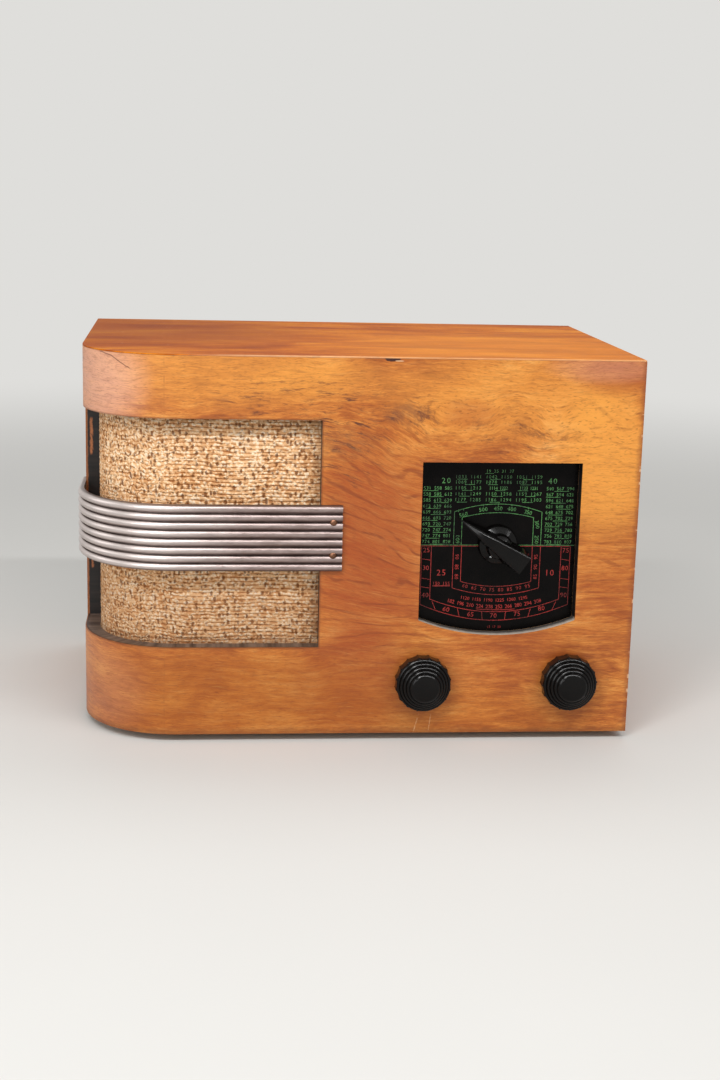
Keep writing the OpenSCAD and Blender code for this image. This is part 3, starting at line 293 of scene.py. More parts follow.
class Finish(Tree):
    """A finish: one shader and the steps that feed it."""

    def __init__(self, name, **values):
        self.material = bpy.data.materials.new(name)
        self.material.use_nodes = True
        super().__init__(self.material.node_tree)
        self.shader = next(n for n in self.tree.nodes if n.type == "BSDF_PRINCIPLED")
        self.set(**values)

    def set(self, **values):
        for name, value in values.items():
            self.feed(self.shader.inputs[name.replace("_", " ")], value)
        return self

    def parts(self, wire):
        n = self.tree.nodes.new("ShaderNodeSeparateXYZ")
        self.feed(n.inputs[0], wire)
        return [Wire(self, o) for o in n.outputs]

    def place(self):
        """Where the surface is in the piece's own metres."""
        return self.parts(self.node("ShaderNodeTexCoord", {}, "Object"))

    def cabinet(self):
        """Where the surface is, in cabinet millimetres."""
        return [v * 1000.0 - 1000.0 * c for v, c in zip(self.place(), CABINET)]

    def kept(self, name):
        """A value stored on the piece's points."""
        return self.node("ShaderNodeAttribute", {}, "Fac", attribute_name=name)

    def flat_map(self):
        """Where the surface lies on the piece's flat pattern, in millimetres."""
        return self.parts(self.node("ShaderNodeUVMap", {}, uv_map="flat"))[:2]

    def point(self, x, y, z):
        return self.node("ShaderNodeCombineXYZ", {0: x, 1: y, 2: z})

    def cloud(self, x, y, z, detail=2.0, rough=0.5, twist=0.0):
        """Cloudy noise round 0.5, with one lump for each unit of x, y and z."""
        inputs = {"Vector": self.point(x, y, z), "Scale": 1.0, "Detail": detail, "Roughness": rough,
                  "Distortion": twist}
        return self.node("ShaderNodeTexNoise", inputs, "Fac")

    def lumps(self, size, detail, rough):
        """Cloudy noise whose lumps are one size in millimetres every way."""
        return self.cloud(*(v / size for v in self.cabinet()), detail, rough)

    def cells(self, x, y, z, scatter):
        """How far the nearest of a field of scattered points is, one for each unit cell."""
        inputs = {"Vector": self.point(x, y, z), "Scale": 1.0, "Randomness": scatter}
        return self.node("ShaderNodeTexVoronoi", inputs, "Distance")

    def blend(self, share, first, second):
        """From the first colour to the second one by a share from 0 to 1."""
        return self.node("ShaderNodeMix", {0: share, 6: first, 7: second}, 2, data_type="RGBA",
                         clamp_factor=True)

    def layers(self, colour, *coats):
        """A colour under coats of others, each given by how much of it shows and its code."""
        for share, code in coats:
            colour = self.blend(share, colour, code)
        return colour

    def steps(self, value, *colours):
        """A run of colours, each given with the place where it is reached."""
        n = self.tree.nodes.new("ShaderNodeValToRGB")
        ramp = n.color_ramp
        while len(ramp.elements) < len(colours):
            ramp.elements.new(0.5)
        for element, (place, code) in zip(ramp.elements, colours):
            element.position = place
            element.color = paint(code)
        self.feed(n.inputs[0], value)
        return Wire(self, n.outputs[0])

    def done(self, colour, roughness, height, depth):
        """Its colour, its roughness and its relief: a height from 0 to 1, as deep as given in
        millimetres."""
        relief = {"Strength": 1.0, "Distance": depth * 0.001, "Height": height}
        return self.set(Base_Color=colour, Roughness=roughness, Normal=self.node("ShaderNodeBump", relief))

    def spot(self, x, y, middle, reach):
        """1 in the middle of an oval and 0 outside it."""
        a, b = (x - middle[0]) / reach[0], (y - middle[1]) / reach[1]
        return (a * a + b * b).fall(0.0, 1.0)

    def spots(self, x, y, *ovals):
        """Several spots added up, each given by its middle, its reach and its strength."""
        return sum(self.spot(x, y, oval[:2], oval[2:4]) * oval[4] for oval in ovals)


def wood_colour(f, along, across, seed, tones, figure):
    """Oiled veneer. Cloudy patches and streaks drawn out along the grain choose the tone, short
    fibres lie over them and pores are fine dark dashes."""
    slow = f.cloud(along / 62, across / 34, seed, 3, 0.55, 0.5)
    line = across + (slow - 0.5) * 14 * figure
    streak = f.cloud(along / 30, line / 3.2, seed + 3, 5, 0.7, 0.3)
    fibre = f.cloud(along / 6.5, line / 0.6, seed + 7, 3, 0.7)
    pore = f.cloud(along / 3.4, line / 0.42, seed + 9, 1, 0.5)
    tone = (slow - 0.5) * 0.75 + (streak - 0.5) * 0.55 + (fibre - 0.5) * 0.42
    return f.steps(tone + 0.5, *tones), streak, pore, line


def open_grain(f, along, line, pore):
    """Relief of open grain: pores between fine fibres."""
    return pore.fall(0.55, 0.75) * 0.5 + f.cloud(along / 9, line / 0.7, 83, 3, 0.6) * 0.5


def veneer_front():
    """The front, the bent corner and the left side as one strip of veneer: along is measured
    round the corner, and depth is how far a point lies below the outer face."""
    f = Finish("front_veneer", Specular_IOR_Level=0.4)
    x, y, z = f.cabinet()
    left = (CORNER_X - x).at_least(0)
    front = (CORNER_Y - y).at_least(0)
    turn = f.sum("ARCTAN2", left, front)
    along = x.at_least(CORNER_X) - turn * CORNER_R - (y - CORNER_Y).at_least(0)
    depth = CORNER_R - (left * left + front * front) ** 0.5

    # The grain comes down to the right between the grille and the dial
    level = (z - 138) / 84
    swirl = along.rise(-40, 55) * (level * level).fall(0, 1)
    tones = ((0.28, "8c4518"), (0.4, "ab5c23"), (0.5, "c4742e"), (0.6, "d78c40"), (0.74, "e8a75b"))
    colour, streak, pore, line = wood_colour(f, along, z + swirl * 26, 2, tones, 0.7)
    colour = front_tints(f, colour, along, z)
    colour = front_grain(f, colour, along, z, line, pore)
    colour = front_wear(f, colour, along, x, y, z)
    colour = f.blend(depth.rise(0.45, 0.8), colour, front_cut_faces(f, along, x, y, z, depth))
    return f.done(colour, streak * 0.2 + 0.34, open_grain(f, along, line, pore), 0.05)


def front_tints(f, colour, along, z):
    """Broad golden, ruddy and amber areas, a darker lower rail, and pinkish patches, mostly on the
    bent corner, that are a painted sheen.
    """
    golden = f.spots(along, z, (-80, 232, 100, 30, 1), (152, 176, 40, 66, 1.7),
                     (84, 216, 90, 34, 1), (-20, 226, 60, 16, 0.5))
    ruddy = f.spots(along, z, (4, 122, 56, 84, 1.3), (150, 100, 36, 50, 0.35), (88, 50, 64, 26, 0.45),
                    (-4, 36, 50, 44, 0.8), (156, 232, 34, 16, 0.9), (66, 206, 22, 12, 0.7))
    amber = f.spots(along, z, (-90, 26, 130, 40, 1), (60, 8, 110, 30, 0.6))
    rail = z.fall(36, 84) * along.fall(10, 60)
    # Painted sheen: pinkish patches, mostly on the bent corner, where light glances off the veneer
    painted_sheen = f.spots(along, z, (-172, 224, 46, 46, 1.5), (150, 236, 44, 12, 0.5), (-176, 26, 50, 40, 0.3))
    return f.layers(colour, (golden * 0.5, "e89c42"), (ruddy * 0.6, "9c4318"), (amber * 0.5, "a95c10"),
                    (rail * 0.15, "6e3404"), (painted_sheen * 0.5, "e5ae93"))


def front_grain(f, colour, along, z, line, pore):
    """Dark frayed smudges above the grille and round the dial, growth lines, curly figure, short
    dark and pale fibres, pores, the upright seam of two sheets and a crack at the bent corner."""
    thick = f.spots(along, z, (-36, 212, 80, 22, 1), (-10, 184, 34, 34, 1.3), (98, 194, 44, 20, 0.8),
                    (30, 204, 24, 16, 1)) + 0.16
    smudge = f.cloud(along / 15, line / 2.4, 31, 5, 0.75, 0.3).rise(0.5, 0.68)
    dusky = f.spots(along, z, (-16, 188, 30, 14, 0.4), (26, 206, 18, 9, 0.55)) + smudge * 0.1
    dusky = dusky * f.cloud(along / 6, line / 2.4, 33, 4, 0.7).rise(0.35, 0.6)
    colour = f.layers(colour, (smudge * thick * 0.8, "643520"), (dusky, "6f4630"))

    rings = line + f.cloud(along / 46, line / 26, 57, 2, 0.5) * 34
    rings = (rings * 0.62).wave().rise(0.72, 1)
    rings = rings * f.cloud(along / 24, line / 5, 59, 3, 0.6).rise(0.34, 0.6)
    shown = f.spots(along, z, (10, 120, 70, 100, 1), (156, 90, 30, 70, 0.6)) + 0.25
    curl = (f.cloud(along / 34, line / 3.4, 37, 3, 0.6, 0.1) - 0.5).size().fall(0, 0.025)
    curl = curl * f.cloud(along / 26, line / 12, 39, 2).rise(0.42, 0.6)
    short = f.cloud(along / 12, line / 1, 47, 3, 0.6).rise(0.54, 0.68)
    pale = f.cloud(along / 20, line / 1.4, 53, 3, 0.6).rise(0.56, 0.72)
    colour = f.layers(colour, (rings * shown * 0.62, "823a16"), (curl * 0.2, "7a3814"),
                      (short * 0.34, "83431b"), (pale * 0.16, "e9ac62"),
                      (pore.rise(0.58, 0.72) * 0.42, "6f3814"))

    seam = (along + 122 + f.cloud(z / 30, 1, 3) * 1.5).size().fall(0.1, 0.7)
    seam = seam * f.cloud(z / 6, 0, 3).rise(0.4, 0.65)
    crack = z - 239.8 + (along + 169).at_least(0) * 0.16 + (along + 159).at_least(0) * 0.34
    crack = (crack + f.cloud(along / 3, 0, 71, 2) * 1.6 - 0.8).size().fall(0.1, 0.6)
    crack = crack * (along + 157).size().fall(11, 14)
    return f.layers(colour, (seam * 0.3, "7a4420"), (crack * 0.75, "59291a"))


def front_wear(f, colour, along, x, y, z):
    """Wear: a dark right-hand edge with pale nicks, a dark lower edge, a chip with a pale sliver in
    the upper edge, two scratches, dark rims round the grille and grubby wood round the knobs."""
    wobble = f.cloud(along / 7, z / 7, 40, 3, 0.6)
    right = (x + wobble * 5).rise(173.4, 177.6)
    nick = (x + wobble * 2).rise(174.6, 175.6) * f.cloud(z / 5, y / 5, 44, 3).rise(0.55, 0.62)
    low = (z - wobble * 5).fall(-2, 2.5)
    skin = (y - 2).fall(0, 1)
    chip = f.spot(x + wobble * 5, z + wobble * 2, (18.5, 240.8), (6, 2)).rise(0.1, 0.4)
    sliver = f.spot(x, z, (20.5, 238.6), (3.4, 0.5)).rise(0.1, 0.5)
    scratch = (x - 38 + (z - 8) * -0.25).size().fall(0.1, 0.5)
    scratch = scratch + (x - 46.5 + (z - 8) * -0.12).size().fall(0.1, 0.4)
    scratch = scratch * z.fall(9, 14) * f.cloud(z / 2, x / 2, 49, 2).rise(0.35, 0.6)
    # How far outside the grille's opening, from its middle and its half lengths
    beyond = ((along + 127.6).size() - 101.6).at_least((z - 129.25).size() - 72.25)
    left_grip, right_grip = (f.spot(x, z, (knob, KNOB_Z - 4), (30, 32)) for knob in KNOB_X)
    return f.layers(colour, (right * 0.65, "7d4024"), (nick * 0.8, "d9b08a"), (low * 0.5, "6b3a1c"),
                    (chip * skin, "3a1a14"), (sliver * skin * 0.8, "dcb48c"), (scratch * 0.6, "e2b583"),
                    (beyond.size().fall(0.2, 1.4) * 0.55, "5c2f18"),
                    (left_grip.at_least(right_grip) * 0.3, "874316"))


def front_cut_faces(f, along, x, y, z, depth):
    """Faces cut through the wood: black with torn brown flecks in the grille's opening, a dusty
    ledge below it, a pale sill under the dial, and bare plies and edges everywhere else."""
    cut = f.cloud(along / 5, z / 5, 51, 4, 0.7)
    black = f.blend(cut.rise(0.35, 0.75), "0b0909", "241c1a")
    ragged = f.cloud(z / 5, depth / 2, 61, 4, 0.75)
    torn = (depth - 1.6 - ragged * 4).size().fall(0.2, 1.3) * ragged.rise(0.3, 0.5)
    torn = torn * f.spots(z, z, (178, 178, 20, 20, 1), (98, 98, 14, 14, 1)).rise(0.05, 0.4)
    torn = torn.at_least((depth - ragged * 1.6).fall(0.2, 0.9) * 0.7)
    dust = f.blend(cut.rise(0.3, 0.7), "3a2c26", "7a675a")
    dust = f.blend(depth.fall(0.8, 2.2), dust, "3b2419")
    in_grille = f.blend((z - GRILLE_LOW).size().fall(0.4, 1.4), f.blend(torn, black, "a8683f"), dust)
    sill = f.blend((depth + cut * 4).rise(3, 9.5), "c9bcae", "4a4542")
    in_window = f.blend((z - 75.2).fall(0, 1), black, sill)
    plies = f.blend((depth * 2.6).wave().rise(-0.4, 0.4), "8a5c32", "b98c5a")
    right_end = f.blend(cut.rise(0.3, 0.7), "6b3f22", "9c6a42")

    colour = f.blend(x.rise(0, 4), in_grille, in_window)
    colour = f.blend(z.rise(40, 56), plies, colour)
    colour = f.blend(x.rise(168, 169), colour, right_end)
    colour = f.blend((y - 225).rise(0, 1), colour, plies)
    return f.blend(depth.rise(9.6, 9.9), colour, plies)


def veneer_flat(name, seed, grain_along):
    """Veneer of the top (grain along X) or of the right side (along Y), with its edges worn pale.
    The top is brighter at its right, duller at its left, and has a pale rim and a few specks."""
    f = Finish(name, Specular_IOR_Level=0.06)
    x, y, z = f.cabinet()
    if grain_along == "x":
        along, across, edge = x / 1.6, y, z.fall(239.9, 240.4)
    else:
        along, across, edge = y, z, z.rise(238.6, 239.8)
    tones = ((0.28, "883b09"), (0.4, "a8510f"), (0.5, "c26716"), (0.6, "d47d20"), (0.74, "e39736"))
    colour, streak, pore, line = wood_colour(f, along, across, seed, tones, 0.35)
    short = f.cloud(along / 9, line / 1.1, seed + 5, 3, 0.6).rise(0.55, 0.7)
    colour = f.layers(colour, (pore.rise(0.58, 0.7) * 0.45, "6a3716"), (short * 0.35, "7c3a12"),
                      (edge * 0.7, "f0cfa8"))
    if grain_along == "x":
        rim = (y + f.cloud(x / 9, 0, 5) * 2).fall(0.6, 3) * x.rise(-125, -60)
        bright = f.spot(x, y, (100, 60), (150, 130))
        dull = f.spot(x, y, (-150, 150), (150, 150))
        speck = f.cells(x / 17, y / 12, 3, 1).fall(0.02, 0.045)
        colour = f.layers(colour, (rim * 0.55, "efcaa2"), (bright * 0.4, "eb9435"), (dull * 0.55, "7a3208"),
                          (speck * 0.6, "f0d0a0"))
    return f.done(colour, streak * 0.2 + 0.44, open_grain(f, along, line, pore), 0.05)


def bare_plywood():
    """Pale boards with long soft grain and glue lines."""
    f = Finish("bare_plywood")
    x, y, z = f.cabinet()
    streak = f.cloud(x / 60, (y + z) / 2.5, 11, 4, 0.6)
    stain = f.lumps(50, 3, 0.6)
    colour = f.steps(streak * 0.7 + stain * 0.3, (0.25, "7c5431"), (0.5, "a87a4b"), (0.75, "c29a68"))
    return f.done(colour, stain * 0.2 + 0.6, streak, 0.08)


def pressed_fibre():
    """Brown hardboard: matted fibres and darker flecks."""
    f = Finish("pressed_fibre")
    mat, stain = f.lumps(1.3, 4, 0.75), f.lumps(60, 3, 0.6)
    colour = f.steps(mat * 0.6 + stain * 0.4, (0.3, "3d2817"), (0.5, "62432a"), (0.72, "7f5c3c"))
    return f.done(colour, mat * 0.2 + 0.62, mat, 0.12)


def metal(name, dark, light, rough):
    """Plain metal with cloudy tarnish and finer scuffs."""
    f = Finish(name, Metallic=1)
    x, y, z = f.cabinet()
    tarnish = f.lumps(14, 4, 0.65)
    scuff = f.cloud(x / 1.5, y / 1.2, z / 0.35, 3, 0.6)
    colour = f.blend((tarnish * 0.7 + scuff * 0.3).rise(0.3, 0.7), dark, light)
    return f.done(colour, (tarnish + scuff) * 0.14 + (rough - 0.14), scuff * 0.4 + tarnish * 0.3, 0.03)


def ribbed_metal():
    """Aluminium band: satin ribs, painted paler round the corner as a painted reflection, with brown
    dirt in the grooves and painted shade on the lower flank of each rib."""
    f = Finish("ribbed_metal", Metallic=1)
    x, y, z = f.cabinet()
    rib = (z - BAND_Z) / RIB_PITCH
    place = rib - f.sum("FLOOR", rib)
    # Dirt in the grooves, and painted shade on the lower flank of each rib
    groove_dirt_and_shade = (place - 0.05).size().fall(0.02, 0.32).at_least((1 - place).fall(0, 0.14))
    tarnish = f.cloud(x / 16, y / 16, z / 2.5, 4, 0.65)
    scuff = f.cloud(x / 2.2, y / 2.2, z / 0.25, 4, 0.7)
    fleck = f.lumps(0.9, 2, 0.5).rise(0.7, 0.78)
    colour = f.blend((tarnish * 0.6 + scuff * 0.4).rise(0.3, 0.7), "84736f", "b5a4a0")
    # Painted reflection: the band is painted paler towards the bent corner. Painted shade and dirt darken
    # the grooves and lower flanks.
    colour = f.layers(colour, (x.fall(-150, -60) * 0.55, "efe6e2"), (groove_dirt_and_shade * 0.72, "4a332d"),
                      (fleck * 0.35, "5d5250"))
    return f.done(colour, tarnish * 0.2 + scuff * 0.14 + 0.2, scuff, 0.03)


def moulded(name, dark, light, rough, grain, shine=0.5):
    """Moulded or laminated material: faint clouds, fine pitting and a changing polish."""
    f = Finish(name, Specular_IOR_Level=shine)
    cloud, fine = f.lumps(9, 4, 0.6), f.lumps(0.8, 2, 0.6)
    colour = f.blend((cloud * 0.6 + fine * 0.4).rise(0.3, 0.7), dark, light)
    return f.done(colour, cloud * 0.16 + (rough - 0.08), fine, grain)


def wound(name, dark, light):
    """Varnished winding: fine turns and a stained surface."""
    f = Finish(name, Coat_Weight=0.3)
    x, y, z = f.cabinet()
    turns = ((x + y + z) * 9).wave()
    stain = f.lumps(8, 4, 0.6)
    colour = f.blend(turns.rise(-0.6, 0.8) * 0.5 + stain * 0.5, dark, light)
    return f.done(colour, stain * 0.2 + 0.35, turns * 0.5 + 0.5, 0.08)


def laminated_iron():
    """Stacked iron sheets: dark edges with thin lines between, rusty in places."""
    f = Finish("laminated_iron", Metallic=0.7)
    sheets = (f.cabinet()[1] * 6).wave()
    rust = f.lumps(7, 4, 0.65)
    colour = f.blend(sheets.rise(-0.2, 0.6), "242426", "4c4b4d")
    colour = f.blend(rust.rise(0.58, 0.7) * 0.6, colour, "5c3d2c")
    return f.done(colour, rust * 0.3 + 0.4, sheets * 0.5 + 0.5, 0.1)


def clear_glass(name, tint):
    """Thin clear glass with a little dust that shows in its roughness."""
    f = Finish(name, Transmission_Weight=0.92, IOR=1.5)
    dust = f.lumps(6, 4, 0.7)
    return f.done(tint, dust.rise(0.45, 0.8) * 0.25 + 0.03, dust, 0.02)


def dial_black():
    """Glass printed black on its back, with faint dust and pale flecks."""
    f = Finish("dial_black", Specular_IOR_Level=0.07)
    x, _, z = f.cabinet()
    dust = f.cloud(x / 12, z / 12, 3, 5, 0.7)
    fleck = f.cloud(x / 0.7, z / 0.7, 8, 1, 0.5).rise(0.74, 0.8)
    colour = f.blend(dust.rise(0.35, 0.75), "060505", "0e0b0a")
    colour = f.blend(fleck * 0.2, colour, "4a443f")
    return f.done(colour, dust * 0.2 + 0.12, dust, 0.01)


def print_colour(name, dull, bright):
    """Screen-printed line colour, thinner in places."""
    f = Finish(name, Roughness=0.5)
    x, _, z = f.cabinet()
    thin = f.cloud(x / 2.2, z / 2.2, 5, 3, 0.65)
    slow = f.cloud(x / 25, z / 25, 9, 1, 0.5)
    return f.set(Base_Color=f.blend((thin * 0.6 + slow * 0.4).rise(0.36, 0.6), dull, bright))


def grille_colour():
    """Looped cloth. The flat map's second value counts along the yarns, so that each yarn is a
    row between two whole numbers of its pitch. Lumps of yarn sit in the rows, large dark holes
    open between every second pair and small ones between all. The crests of yarns and lumps are
    painted lighter and their sides darker, a painted shade of their relief; a value kept on the
    cloth's points darkens it towards its edges, and its lower part is painted darker as shade."""
    f = Finish("grille_colour", Sheen_Weight=0.12, Sheen_Roughness=0.6, Sheen_Tint="e8a868",
               Specular_IOR_Level=0.08)
    u, v = f.flat_map()
    curl = u.rise(85, 150)
    row = v / YARN
    sway = (f.cloud(u / 5, v / 5, 2, 2) - 0.5) * 2
    loose = row + sway * (curl * 0.9 + 0.2)
    bead = (loose * math.pi).wave().size().rise(0, 0.75)
    ragged = (f.cloud(u / 0.9, v / 0.7, 6, 2) - 0.5) * 0.4
    rare = f.cloud(u / 7, v / 5, 12, 2).rise(0.16, 0.4)
    large = f.cells((u + sway) / 2.9, loose / 2 + 0.5, 0, 0.62)
    small = f.cells((u - sway) / 3.4, loose + 0.5, 7, 0.8)
    hole = ((large + ragged).fall(0.17, 0.42) * rare).at_least((small + ragged).fall(0.12, 0.38) * 0.75)
    dash = (1 - bead) * f.cloud(u / 2.6, row * 0.8, 16, 1).rise(0.4, 0.58) * (1 - curl * 0.6)
    lump = f.cells(u / 2.1 + sway, loose * 1.4, 5, 1).fall(0.08, 0.72)
    hair = f.cloud(u / 0.55, v / 0.4, 4, 3, 0.7)
    slow = f.cloud(u / 20, v / 14, 14, 3)
    # Painted shade and highlight: yarn crests and lump middles lighter, their sides darker, over random
    # tone
    tone = bead * 0.2 + lump * 0.46 + hair * 0.34 + slow * 0.46 - 0.21
    colour = f.steps(tone, (0.16, "a5673a"), (0.32, "d49a66"), (0.46, "f0c08f"), (0.62, "fcd8ad"),
                     (0.8, "ffe8cb"))
    # Dashes and holes of the weave, the darkening kept on the points, and at the bottom painted shade below
    # the band
    colour = f.layers(colour, (dash * 0.62, "9c6038"), (hole * 0.86, "74401f"),
                      (f.kept("edge_darkening") * 0.6, "6b4a38"), (v.fall(84, 112) * 0.4, "7a5034"))
    return f.done(colour, 0.85, bead * 0.22 + lump * 0.45 + hair * 0.3 - hole * 0.8 - dash * 0.25, 0.6)


FINISH = {
    "veneer": veneer_front(),
    "plywood": bare_plywood(),
    "fibreboard": pressed_fibre(),
    "cloth": grille_colour(),
    "card": moulded("cone_paper", "241f1b", "40362e", 0.85, 0.15),
    "trim": ribbed_metal(),
    "can": metal("drawn_can", "8f9396", "c4c6c8", 0.42),
    "steel": metal("plated_steel", "6f7376", "b2b5b6", 0.4),
    "iron": laminated_iron(),
    "brass": metal("dull_brass", "6e5228", "b8924f", 0.4),
    "copper": wound("varnished_wire", "4a1f0e", "9c5530"),
    "bakelite": moulded("polished_bakelite", "050404", "0b0908", 0.14, 0.003, 0.17),
    "paxolin": moulded("laminated_board", "4a2a15", "7b4d2a", 0.5, 0.05),
    "rubber": moulded("old_rubber", "151312", "2a2624", 0.75, 0.06),
    "dial": dial_black(),
    "glass": clear_glass("bulb_glass", "e4ecec"),
    "wire": moulded("braided_lead", "2b190f", "5c3a26", 0.8, 0.2),
}
TOP = veneer_flat("top_veneer_finish", 71.0, "x")
SIDE = veneer_flat("side_veneer_finish", 93.0, "y")
NAILS = metal("aged_copper", "3c241a", "ab7c62", 0.3)


def dress_frame():
    """Each shape of the frame takes the finish of its slot in the record."""
    own = {"top_veneer": TOP, "right_side": SIDE, "trim_nails": NAILS}
    for row in frame["record"]["subparts"]:
        finish = own.get(row["node"], FINISH[row["material_slot"]])
        node = nodes[row["node"]]
        if not node.material_slots:
            node.data.materials.append(finish.material)
        for place in node.material_slots:
            place.material = finish.material


def rounded_copy(node, name, finish, width):
    """A merged copy of a shape of the frame that stands for it, with its edges worn round."""
    mesh = nodes[node].data.copy()
    mesh.name = name
    if "custom_normal" in mesh.attributes:
        mesh.attributes.remove(mesh.attributes["custom_normal"])

    def whole_faces(work):
        """Triangles become whole faces again, and the shading breaks at edges over 30 degrees."""
        bmesh.ops.dissolve_limit(work, angle_limit=0.002, verts=work.verts, edges=work.edges)
        for face in work.faces:
            face.smooth = True
        for edge in work.edges:
            edge.smooth = edge.calc_face_angle(0.0) < math.radians(30)

    weld(mesh, whole_faces)
    mesh.materials.clear()
    mesh.materials.append(finish.material)
    piece = added(name, mesh)
    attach(piece, "cabinet")
    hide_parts(node)
    round_edges(piece, width)


def worn_cabinet_edges():
    """The outer wooden pieces with their edges rubbed round."""
    rounded_copy("front_wrap", "veneered_front", FINISH["veneer"], 0.45)
    rounded_copy("top_veneer", "veneered_top", TOP, 0.42)
    rounded_copy("right_side", "veneered_side", SIDE, 0.5)


# Grille cloth


def slubs(table, row, place):
    """Smooth noise along each row: the row picks a line of the table, and place runs along it."""
    columns = table.shape[1]
    i = np.floor(place).astype(int)
    t = place - i
    t = t * t * (3 - 2 * t)
    row = row.astype(int) % table.shape[0]
    return table[row, i % columns] * (1 - t) + table[row, (i + 1) % columns] * t


def outer_path(s, inset):
    """A point of the path that runs along the front, round the corner and back along the side.
    s is measured leftwards on the outer face from the middle of the front, the point lies an
    inset below that face: straight, then a quarter circle, then straight again."""
    straight = -CORNER_X
    bend = CORNER_R * math.pi / 2
    turn = np.clip((s - straight) / CORNER_R, 0, math.pi / 2)
    r = CORNER_R - inset
    back = np.maximum(s - straight - bend, 0)
    x = np.where(s < straight, -s, CORNER_X - r * np.sin(turn))
    y = np.where(s < straight, inset, CORNER_Y - r * np.cos(turn) + back)
    normal = np.stack([-np.sin(turn), -np.cos(turn), 0 * turn], -1)
    return np.stack([x, y, 0 * x], -1), normal


def grille_sheet():
    """The cloth: a grid along the path and up, raised by puffy yarns. A yarn's height over its
    width is one minus the square of the distance from its middle, more where it is lumpy. The
    flat map keeps the length round the corner and the yarns' own count upwards."""
    tuck = 14
    length = -CORNER_X + CORNER_R * math.pi / 2 + GRILLE_SIDE - CORNER_Y

    def line(low, high, count):
        """Even steps over the shown length, with two wide ones tucked in at each end."""
        return np.hstack([low - tuck, low - tuck / 2, np.linspace(low, high, count),
                          high + tuck / 2, high + tuck])

    s_line, z_line = line(-GRILLE_RIGHT, length, 340), line(GRILLE_LOW, GRILLE_HIGH, 258)
    s, z = np.meshgrid(s_line, z_line)
    rng = np.random.default_rng(7)
    wander, thick, knots = (rng.random((97, 211)) for _ in range(3))
    sway = slubs(wander, np.round(z / 9), s / 10) * 1.1 + slubs(knots, np.round(z / 40), s / 26) * 2
    yarns = z + sway
    row = np.floor(yarns / YARN)
    across = (yarns / YARN - row - 0.5) * 2
    lump = slubs(thick, row, s / 1.9 + 0.61 * row)
    height = 0.42 * np.clip(1 - across ** 2, 0, 1) * (0.5 + 0.5 * lump) + 0.22 * lump
    path, normal = outer_path(s.ravel(), CLOTH_IN)
    points = path + normal * (height.ravel() - 0.4)[:, None]
    points[:, 2] = z.ravel()
    faces = grid_faces(*s.shape)[:, ::-1]
    sheet = make_piece("grille_fabric", points, faces, FINISH["cloth"], "cloth", replaces=["grille_cloth"])

    # The cloth is darker towards its right, lower and upper edges, and in patches hanging down from the
    # upper one
    edge = np.minimum.reduce([s + GRILLE_RIGHT, z - GRILLE_LOW, GRILLE_HIGH - z])
    edge_darkening = np.clip(1 - edge / 6, 0, 1) * (0.4 + 0.6 * slubs(wander, np.round(z / 7), s / 11))
    hanging = np.clip(1 - (GRILLE_HIGH - z) / 34, 0, 1) * slubs(knots, np.round(z / 12), s / 15)
    edge_darkening = np.maximum(edge_darkening, 0.5 * hanging)
    mesh = sheet.data
    layer = mesh.attributes.new("edge_darkening", "FLOAT", "POINT")
    layer.data.foreach_set("value", edge_darkening.astype(np.float32).ravel())
    flat = mesh.uv_layers.new(name="flat")
    corner = np.zeros(len(mesh.loops), np.int32)
    mesh.loops.foreach_get("vertex_index", corner)
    uv = np.stack([s.ravel(), yarns.ravel()], -1)[corner]
    flat.data.foreach_set("uv", uv.astype(np.float32).ravel())


# Knobs and nails


def round_knob_form():
    """Round knob: hollow flutes meet in sharp ridges round the skirt, four beads step inwards
    and a low dome closes the middle."""
    depth, skirt, ridges, beads = 19, 9.1, 16, 4
    step = (depth - skirt) / (beads + 1)
    corners = [(3.1, 1.2), (3.1, 0), (16.9, 0), (18, 0.9), (18, skirt - 0.5), (17.5, skirt),
               (17.1, skirt)]
    radii = [0.2, 0.2, 0.3, 0.3, 0.3, 0.15]
    for i in range(beads):
        r, top = 17.1 - 1.9 * i, skirt + step * (i + 1)
        corners += [(r, top - 0.8), (r - 1.1, top), (r - 1.9, top - 0.5)]
        radii += [0.5, 0.5, 0.15]
    corners += [(9.5, depth - 1.5), (8, depth - 0.4), (4, depth - 0.1), (0, depth)]
    radii += [0.9, 2, 3]
    profile = filleted(corners, radii)
    profile[-1, 0] = 0

    def fluted(angle, radius, height):
        """Radius less a hollow that is deepest halfway between two ridges."""
        sector = 2 * math.pi / ridges
        t = (angle / sector - np.floor(angle / sector)) * 2 - 1
        hollow = 0.85 * (1 - np.abs(t) ** 2.6)
        return radius - hollow * np.clip((radius - 16.9) / 0.7, 0, 1) * np.clip((9.4 - height) / 0.3, 0, 1)

    return turned(profile, 16 * ridges, fluted)


def round_knobs():
    """The same moulding twice, on the volume shaft and on the wave switch's."""
    form, faces = round_knob_form()
    for name, body, x, turn in (("volume", "volume", KNOB_X[0], 11), ("band", "wave", KNOB_X[1], 3.4)):
        points = facing_front(form, (x, KNOB_Y, KNOB_Z), turn)
        make_piece(f"{name}_knob_moulding", points, faces, FINISH["bakelite"], "bakelite", body,
                   closed=True, replaces=[f"{name}_knob"])


